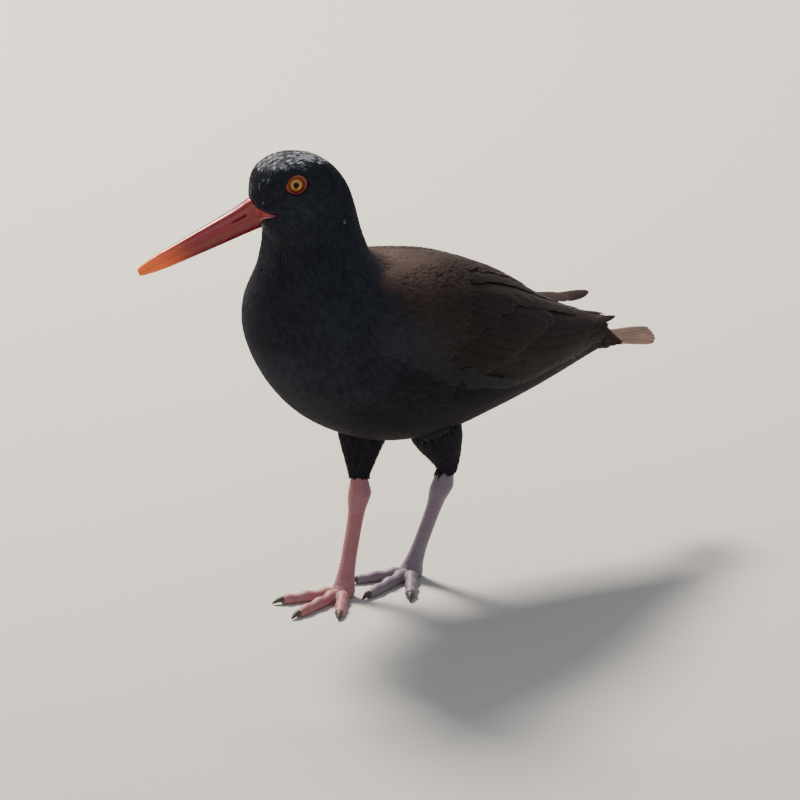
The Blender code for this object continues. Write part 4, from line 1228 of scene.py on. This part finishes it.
class MakeTail(bpy.types.Operator):
    """Six pairs of tail feathers"""

    bl_idname = "oystercatcher.tail"
    bl_label = "Make tail"

    def execute(self, context):
        settings = context.scene.oystercatcher_plumage
        rng = np.random.default_rng(settings.seed + 2)
        bm = new_bmesh("OFBake", "Vane")
        bm.verts.layers.float.new("tone")
        for k in reversed(range(TAIL_PAIRS)):
            for side in SIDES.values():
                w, level = side * (k + 0.5) / TAIL_PAIRS * 0.94, 1.3 - 0.5 * k + 0.15 * side
                root, tip = (0.0, w * 0.6), (1.0 + rng.normal(0, 0.01), w)
                tone, cell = 0.16 * k + 0.3 * rng.random(), 2 * k + (side + 1) // 2
                place = root, tip, TAIL_VANE_HALF, level, -0.45 * side
                add_vane(bm, tail_place, *place, tone, cell, rng, rows=20)
        material = quill_material("tail_quills", settings.tail, settings, 0.6)
        vane_piece("tail_feathers", bm, TAIL_VANE_THICK, material, "tail")
        return {"FINISHED"}


class MakeBill(bpy.types.Operator):
    """Upper and lower bill, with the corners of the mouth, nostril grooves and the sunk line between them"""

    bl_idname = "oystercatcher.bill"
    bl_label = "Make bill"

    def execute(self, context):
        material = bill_material(context.scene.oystercatcher_bill)
        root, *axes = bill_axes()
        self.face = face_side()
        for name in ("upper_bill", "lower_bill"):
            bm = new_bmesh()
            upper = name == "upper_bill"
            sleeve(bm, 120, 48, lambda t, a: root + self.section(t, a, upper) @ np.array(axes))
            mesh = piece(name + "_horn", bm, material, [name], "red_bill", smooth=60.0).data
            out, up, _ = in_bill(places_of(mesh))
            # low and groove mark where the bill's colour is darkened as painted shade: its lower side and the
            # nostril's groove
            share, low = np.clip(out / BILL_LENGTH, 0, 1), np.clip(-(up + 3) / 12, 0, 1)
            write_values(mesh, {"out": share, "low": low, "groove": nostril(out, up)})
        return {"FINISHED"}

    def section(self, t, angle, upper):
        """Points round the bill at share t of its length with its root, as distances out, up and left."""
        out = -GAPE_BACK + (BILL_LENGTH + GAPE_BACK) * t
        share, behind = np.clip(out / BILL_LENGTH, 0, 1), np.clip(-out / GAPE_BACK, 0, 1)
        ridge, mouth, under, half = (table([(row[0], row[k]) for row in BILL], share) for k in (1, 2, 3, 4))
        ridge = ridge - 4.0 * step(behind, 0.0, 0.22) - 4.4 * behind
        under = under + 5.6 * step(behind, 0.0, 0.1) + 3.2 * behind
        a = (angle % 360) / 360
        flat = a > BILL_ROUND
        turn = np.pi * np.clip(a / BILL_ROUND, 0, 1)
        w, h = np.cos(turn), np.sin(turn)
        w, h = np.sign(w) * np.abs(w) ** 0.72, np.abs(h) ** 0.8
        w = np.where(flat, -1 + 2 * (a - BILL_ROUND) / (1 - BILL_ROUND), w)
        h = np.where(flat, 0.0, h)
        edge = mouth + 0.1 if upper else mouth - 0.1
        up = edge + ((ridge - edge) if upper else (under - edge)) * h
        y = half * w * (1.0 if upper else 0.96)
        # The root and the corners of the mouth widen to the head's side
        face = face_terms(out, up) @ self.face + 0.25
        boxed = np.where(flat, w, np.sign(w) * np.abs(w) ** 0.25)
        near_mouth = step(-out, -2.0, 0.4) * step(np.abs(up + 8.5), 6.0, 2.5)
        grown = np.maximum(face * np.abs(boxed) - np.abs(y), 0.0)
        y = y + np.sign(w) * grown * np.maximum(step(behind, 0.0, 0.4), near_mouth)
        if upper:
            y = y * (1 - 0.25 * nostril(out, up) * ~flat)
        return stacked(out, up, y)


class MakeEyes(bpy.types.Operator):
    """Both wet eyeballs and their rings of bare lid"""

    bl_idname = "oystercatcher.eyes"
    bl_label = "Make eyes"

    def execute(self, context):
        settings = context.scene.oystercatcher_eyes
        wet, bare = eye_material(settings), lid_material(settings)
        for side, sign in SIDES.items():
            middle, ahead, up, out = eye_axes(sign)
            axes = np.array((ahead, up, out))
            bm = new_bmesh("Iris")
            bmesh.ops.create_uvsphere(bm, u_segments=64, v_segments=40, radius=EYE_RADIUS)
            for vert in bm.verts:
                bulge = 1 + 0.05 * float(step(vert.co.z, 4.2, EYE_RADIUS))
                vert.co = middle + np.array(vert.co) * (1, 1, bulge) @ axes
                away = np.array(vert.co) - middle
                flat = IRIS_AHEAD + dot(away, ahead) / IRIS_ACROSS, IRIS_UP + dot(away, up) / IRIS_ACROSS
                for loop in vert.link_loops:
                    loop[bm.loops.layers.uv["Iris"]].uv = flat
            bmesh.ops.recalc_face_normals(bm, faces=bm.faces)
            piece(f"eyeball_{side}", bm, wet, [f"eye_{side}"], "yellow_eye")
            bm = new_bmesh()
            made = sheet(bm, 20, 96, lambda t, a: middle + self.lid(t, a) @ axes)
            bmesh.ops.remove_doubles(bm, verts=made, dist=1e-4)
            bmesh.ops.recalc_face_normals(bm, faces=bm.faces)
            piece(f"lid_ring_{side}", bm, bare, [f"eye_ring_{side}"], "orange_lid")
        return {"FINISHED"}

    def lid(self, t, a):
        """Points of the lid ring, as distances forward, up and out: t goes round its section."""
        turn, (c, h) = 2 * np.pi * a, (np.cos(2 * np.pi * t), np.sin(2 * np.pi * t))
        reach = ring_reach(turn)
        wide = (EYE_OPENING + reach) / 2 - (reach - EYE_OPENING) / 2 * c
        share = (wide - EYE_OPENING) / (reach - EYE_OPENING)
        rise = np.where(h > 0, (RING_TOP - RING_FOOT) * np.abs(h) ** 0.6, -0.2 * np.abs(h))
        fold = (0.09 * np.sin(turn * 23) + 0.12 * np.cos(share * 4 * np.pi)) * np.maximum(h, 0)
        height = RING_FOOT + rise + fold + 0.5 * (1 - share) * (h > 0)
        return stacked(wide * np.cos(turn), wide * np.sin(turn), height)


class MakeLegs(bpy.types.Operator):
    """Bare legs, feet and claws"""

    bl_idname = "oystercatcher.legs"
    bl_label = "Make legs"

    def execute(self, context):
        settings = context.scene.oystercatcher_legs
        horn = claw_material(settings)
        # The right leg gets more of the pink flush, partly real blotches and partly painted sunlight
        for side, flush_and_painted_sun in (("left", 0.12), ("right", 0.5)):
            skin = leg_material(f"leg_skin_{side}", getattr(settings, side), flush_and_painted_sun, settings)
            self.leg(side, skin, settings.scale)
            for name, toe in TOES[side].items():
                bm = new_bmesh()
                sleeve(bm, 24, 20, self.claw(side, *toe))
                piece(f"horn_claw_{side}_{name}", bm, horn, [f"claw_{side}_{name}"], "dark_claw")
        return {"FINISHED"}

    def leg(self, side, skin, cell):
        """Shank, palm and toes of one leg as one skin, with its scales' rings and front marked on it."""
        bm = new_bmesh()
        sleeve(bm, 60, 40, self.shank(side))
        sleeve(bm, 24, 32, self.palm(side))
        for toe in TOES[side].values():
            sleeve(bm, 60, 28, self.toe(side, *toe))
        headings = sorted(heading for heading, _ in TOES[side].values())
        for one, other in zip(headings, headings[1:]):
            sleeve(bm, 12, 20, self.web(side, one, other))
        nodes = [f"shank_{side}", f"palm_{side}"] + [f"toe_{side}_{name}" for name in TOES[side]]
        made = piece(f"leg_skin_{side}", bm, skin, nodes, "pale_leg_skin")
        settled(made, "REMESH", mode="VOXEL", voxel_size=cell, use_smooth_shade=True)
        settled(made, "SMOOTH", factor=0.5, iterations=4)
        self.mark(made.data, side)
        made.data.materials.clear()
        made.data.materials.append(skin)

    def shank(self, side):
        """Places on the bare leg from inside the feathers to the ball of the foot, its tendon behind."""
        _, hem, ankle, ball, foot = leg_points(side)
        down = unit(ankle - hem)
        stations = [(hem - down * 6, 4.4), (hem + down * 1.0, 5.0), (ankle - down * 3.2, 6.4), (ankle, 6.9)]
        stations += [(ankle + (foot - ankle) * q, r) for q, r in TARSUS]
        stations.append((ball + (foot - ball) * 0.2, 5.8))
        rows = np.array([(*p, r) for p, r in stations])

        def place(t, a):
            row, (c, w) = through(rows, t * (len(rows) - 1)), circle(a)
            tendon = TENDON * np.maximum(-c, 0) ** 6 * step(t, 0.35, 0.5)
            return row[:, :3] + stacked((row[:, 3] + tendon) * c, row[:, 3] * SHANK_FLAT * w, 0.0)

        return place

    def palm(self, side):
        """Places on the ball of the foot, which leans up to the shank."""
        _, _, _, ball, foot = leg_points(side)
        lean = (foot - ball) / (PALM_TOP - BALL_HEIGHT)

        def place(t, a):
            z, (c, w) = PALM_TOP * t, circle(a)
            r, rise = table(PALM, z), np.maximum(z - BALL_HEIGHT, 0)
            return stacked(ball[0] + rise * lean[0] + r * c, ball[1] + rise * lean[1] + r * w, z)

        return place

    def toe(self, side, heading, length):
        """Places on a toe: rounded above, flat below, with a pad at each of its bones."""

        def place(t, a):
            reach, (c, w) = (length + TOE_END) * t, circle(a)
            swell = 1 + 0.08 * np.cos(2 * np.pi * reach / TOE_PAD)
            end = np.sqrt(np.clip(1 - ((reach - (length - 1.2)) / 3.2).clip(0, 1) ** 2, 0.02, 1))
            wide = TOE_WIDE * (1 - 0.22 * t) * swell * end
            high = TOE_HIGH * (1 - 0.3 * t) * swell * (0.35 + 0.65 * end)
            z = high / 2 + high / 2 * w
            z = (np.maximum(z, high * 0.1) - high * 0.1) / 0.9
            return on_foot(side, heading, reach, wide * c, z)

        return place

    def web(self, side, one, other):
        """Places on the small web between the roots of two toes."""
        ball, reach = LEGS[side]["ball"], 15.0 if other - one > 30 else 12.0
        first, last = math.radians(one), math.radians(other)

        def place(t, a):
            c, w = circle(a)
            heading = first + (last - first) * (0.5 + 0.5 * c * np.sin(np.pi * (0.15 + 0.7 * t)))
            far = reach * (0.3 + 0.7 * t) * (1 - 0.16 * np.sin(np.pi * (heading - first) / (last - first)))
            z = 2.0 + WEB_THICK * w
            return stacked(ball[0] + far * np.cos(heading), ball[1] + far * np.sin(heading), z)

        return place

    def claw(self, side, heading, length):
        """Places on a curved claw at the end of a toe."""

        def place(t, a):
            reach, (c, w) = length + 0.9 + (CLAW_LENGTH - 0.4) * t, circle(a)
            wide = CLAW_HALF * (1 - t**1.5) ** 0.8 + 0.2
            high = CLAW_HIGH * (1 - t**1.3) ** 0.7 + 0.35
            lift = CLAW_LIFT + 0.9 * np.sin(np.pi * t) * (1 - t)
            return on_foot(side, heading, reach, wide * c, high / 2 * (1 + w) + lift)

        return place

    def mark(self, mesh, side):
        """Marks how far along the leg or toe each point is, and how much it faces forward or up."""
        _, _, ankle, _, foot = leg_points(side)
        points = places_of(mesh)
        points[:, 2] = np.where(points[:, 2] < 0.35, 0.0, points[:, 2])
        best, ring, front = np.full(len(points), 1e9), np.zeros(len(points)), np.zeros(len(points))
        lines = [(ankle + (ankle - foot) * 0.3, foot, (1.0, 0.0, 0.0))]
        for heading, length in TOES[side].values():
            start, end = (on_foot(side, heading, reach, 0.0, BALL_HEIGHT / 2) for reach in (0.0, length))
            lines.append((start, end, (0.0, 0.0, 1.0)))
        for start, end, facing in lines:
            span = np.linalg.norm(end - start)
            t = np.clip(dot(points - start, (end - start) / span), -8, span)
            off = points - (start + (end - start) / span * t[:, None])
            far = np.linalg.norm(off, axis=-1)
            closer = far < best
            best, ring = np.where(closer, far, best), np.where(closer, t, ring)
            front = np.where(closer, step(dot(unit(off), np.array(facing)), 0.1, 0.6), front)
        normals = np.zeros(len(mesh.vertices) * 3, dtype=np.float32)
        mesh.vertices.foreach_get("normal", normals)
        rise = SCUTE_RISE * front * np.sin(ring * 2 * np.pi / SCUTE_PITCH) * (points[:, 2] > 0.6)
        move_to(mesh, points + normals.reshape(-1, 3) * rise[:, None])
        write_values(mesh, {"ring": ring, "front": front})


class MakeStage(bpy.types.Operator):
    """Plain pale floor, soft light and the camera"""

    bl_idname = "oystercatcher.stage"
    bl_label = "Make stage"

    def execute(self, context):
        settings = context.scene.oystercatcher_stage
        material, _, _ = started("pale_floor", {"Roughness": 0.8, "Base Color": (*settings.floor, 1)})
        bm = bmesh.new()
        bmesh.ops.create_grid(bm, x_segments=1, y_segments=1, size=20.0)
        mesh = bpy.data.meshes.new("floor")
        bm.to_mesh(mesh)
        bm.free()
        mesh.materials.append(material)
        self.placed("floor", mesh, (0.0, 0.0, 0.0))

        level = math.cos(VIEW_HEIGHT)
        towards = Vector((math.sin(VIEW_TURN) * level, math.cos(VIEW_TURN) * level, math.sin(VIEW_HEIGHT)))
        data = bpy.data.cameras.new("camera")
        data.sensor_width, data.clip_end = 36.0, 100.0
        data.lens = data.sensor_width * settings.distance / (VIEW_WIDTH * MM)
        place = (Vector(VIEW_AIM) + Vector(SHIFT)) * MM + towards * settings.distance
        bpy.context.scene.camera = self.placed("camera", data, place, towards)

        self.light("key", Vector((-0.34, -1.52, 1.8)), settings.key, 0.6, "fff4e6")
        self.light("fill", Vector((1.6, 2.4, 1.3)), settings.key * 0.11, 2.4, "dfe8ff")
        world = bpy.data.worlds.new("studio")
        world.use_nodes = True
        feed(world.node_tree.nodes["Background"], ((*linear("dfe5ee"), 1), 0.5))
        context.scene.world = world
        return {"FINISHED"}

    def placed(self, name, data, place, backwards=None):
        """An object at a place, its back turned to a direction."""
        made = bpy.data.objects.new(name, data)
        made.location = place
        if backwards:
            made.rotation_euler = backwards.to_track_quat("Z", "Y").to_euler()
        bpy.context.scene.collection.objects.link(made)
        return made

    def light(self, name, place, power, size, code):
        """A square soft light that faces the bird."""
        data = bpy.data.lights.new(name, "AREA")
        data.energy, data.size, data.color = power, size, linear(code)
        self.placed(name, data, place, place - Vector((0.0, 0.0, 0.15)))


class OystercatcherPanel(bpy.types.Panel):
    """The bird's pieces and their settings"""

    bl_idname = "VIEW3D_PT_oystercatcher"
    bl_label = "Black oystercatcher"
    bl_space_type = "VIEW_3D"
    bl_region_type = "UI"
    bl_category = "Oystercatcher"

    def draw(self, context):
        column = self.layout.column()
        for operator in OPERATORS:
            column.operator(operator.bl_idname)
        for name, group in SETTINGS.items():
            column.label(text=group.__doc__)
            settings = getattr(context.scene, name)
            for key in group.__annotations__:
                column.prop(settings, key)


SETTINGS = {
    "oystercatcher_plumage": PlumageSettings,
    "oystercatcher_bill": BillSettings,
    "oystercatcher_eyes": EyeSettings,
    "oystercatcher_legs": LegSettings,
    "oystercatcher_stage": StageSettings,
}
OPERATORS = (MakeSkin, MakeCoat, MakeWings, MakeTail, MakeBill, MakeEyes, MakeLegs, MakeStage)
CLASSES = (*SETTINGS.values(), *OPERATORS, OystercatcherPanel)


def register():
    """Adds the classes, and the settings to every scene."""
    for made in CLASSES:
        bpy.utils.register_class(made)
    for name, group in SETTINGS.items():
        setattr(bpy.types.Scene, name, PointerProperty(type=group))


def unregister():
    """Takes them away again."""
    for name in SETTINGS:
        delattr(bpy.types.Scene, name)
    for made in reversed(CLASSES):
        bpy.utils.unregister_class(made)


def main():
    """Makes every piece."""
    register()
    for operator in OPERATORS:
        space, name = operator.bl_idname.split(".")
        getattr(getattr(bpy.ops, space), name)()


if __name__ == "__main__":
    main()
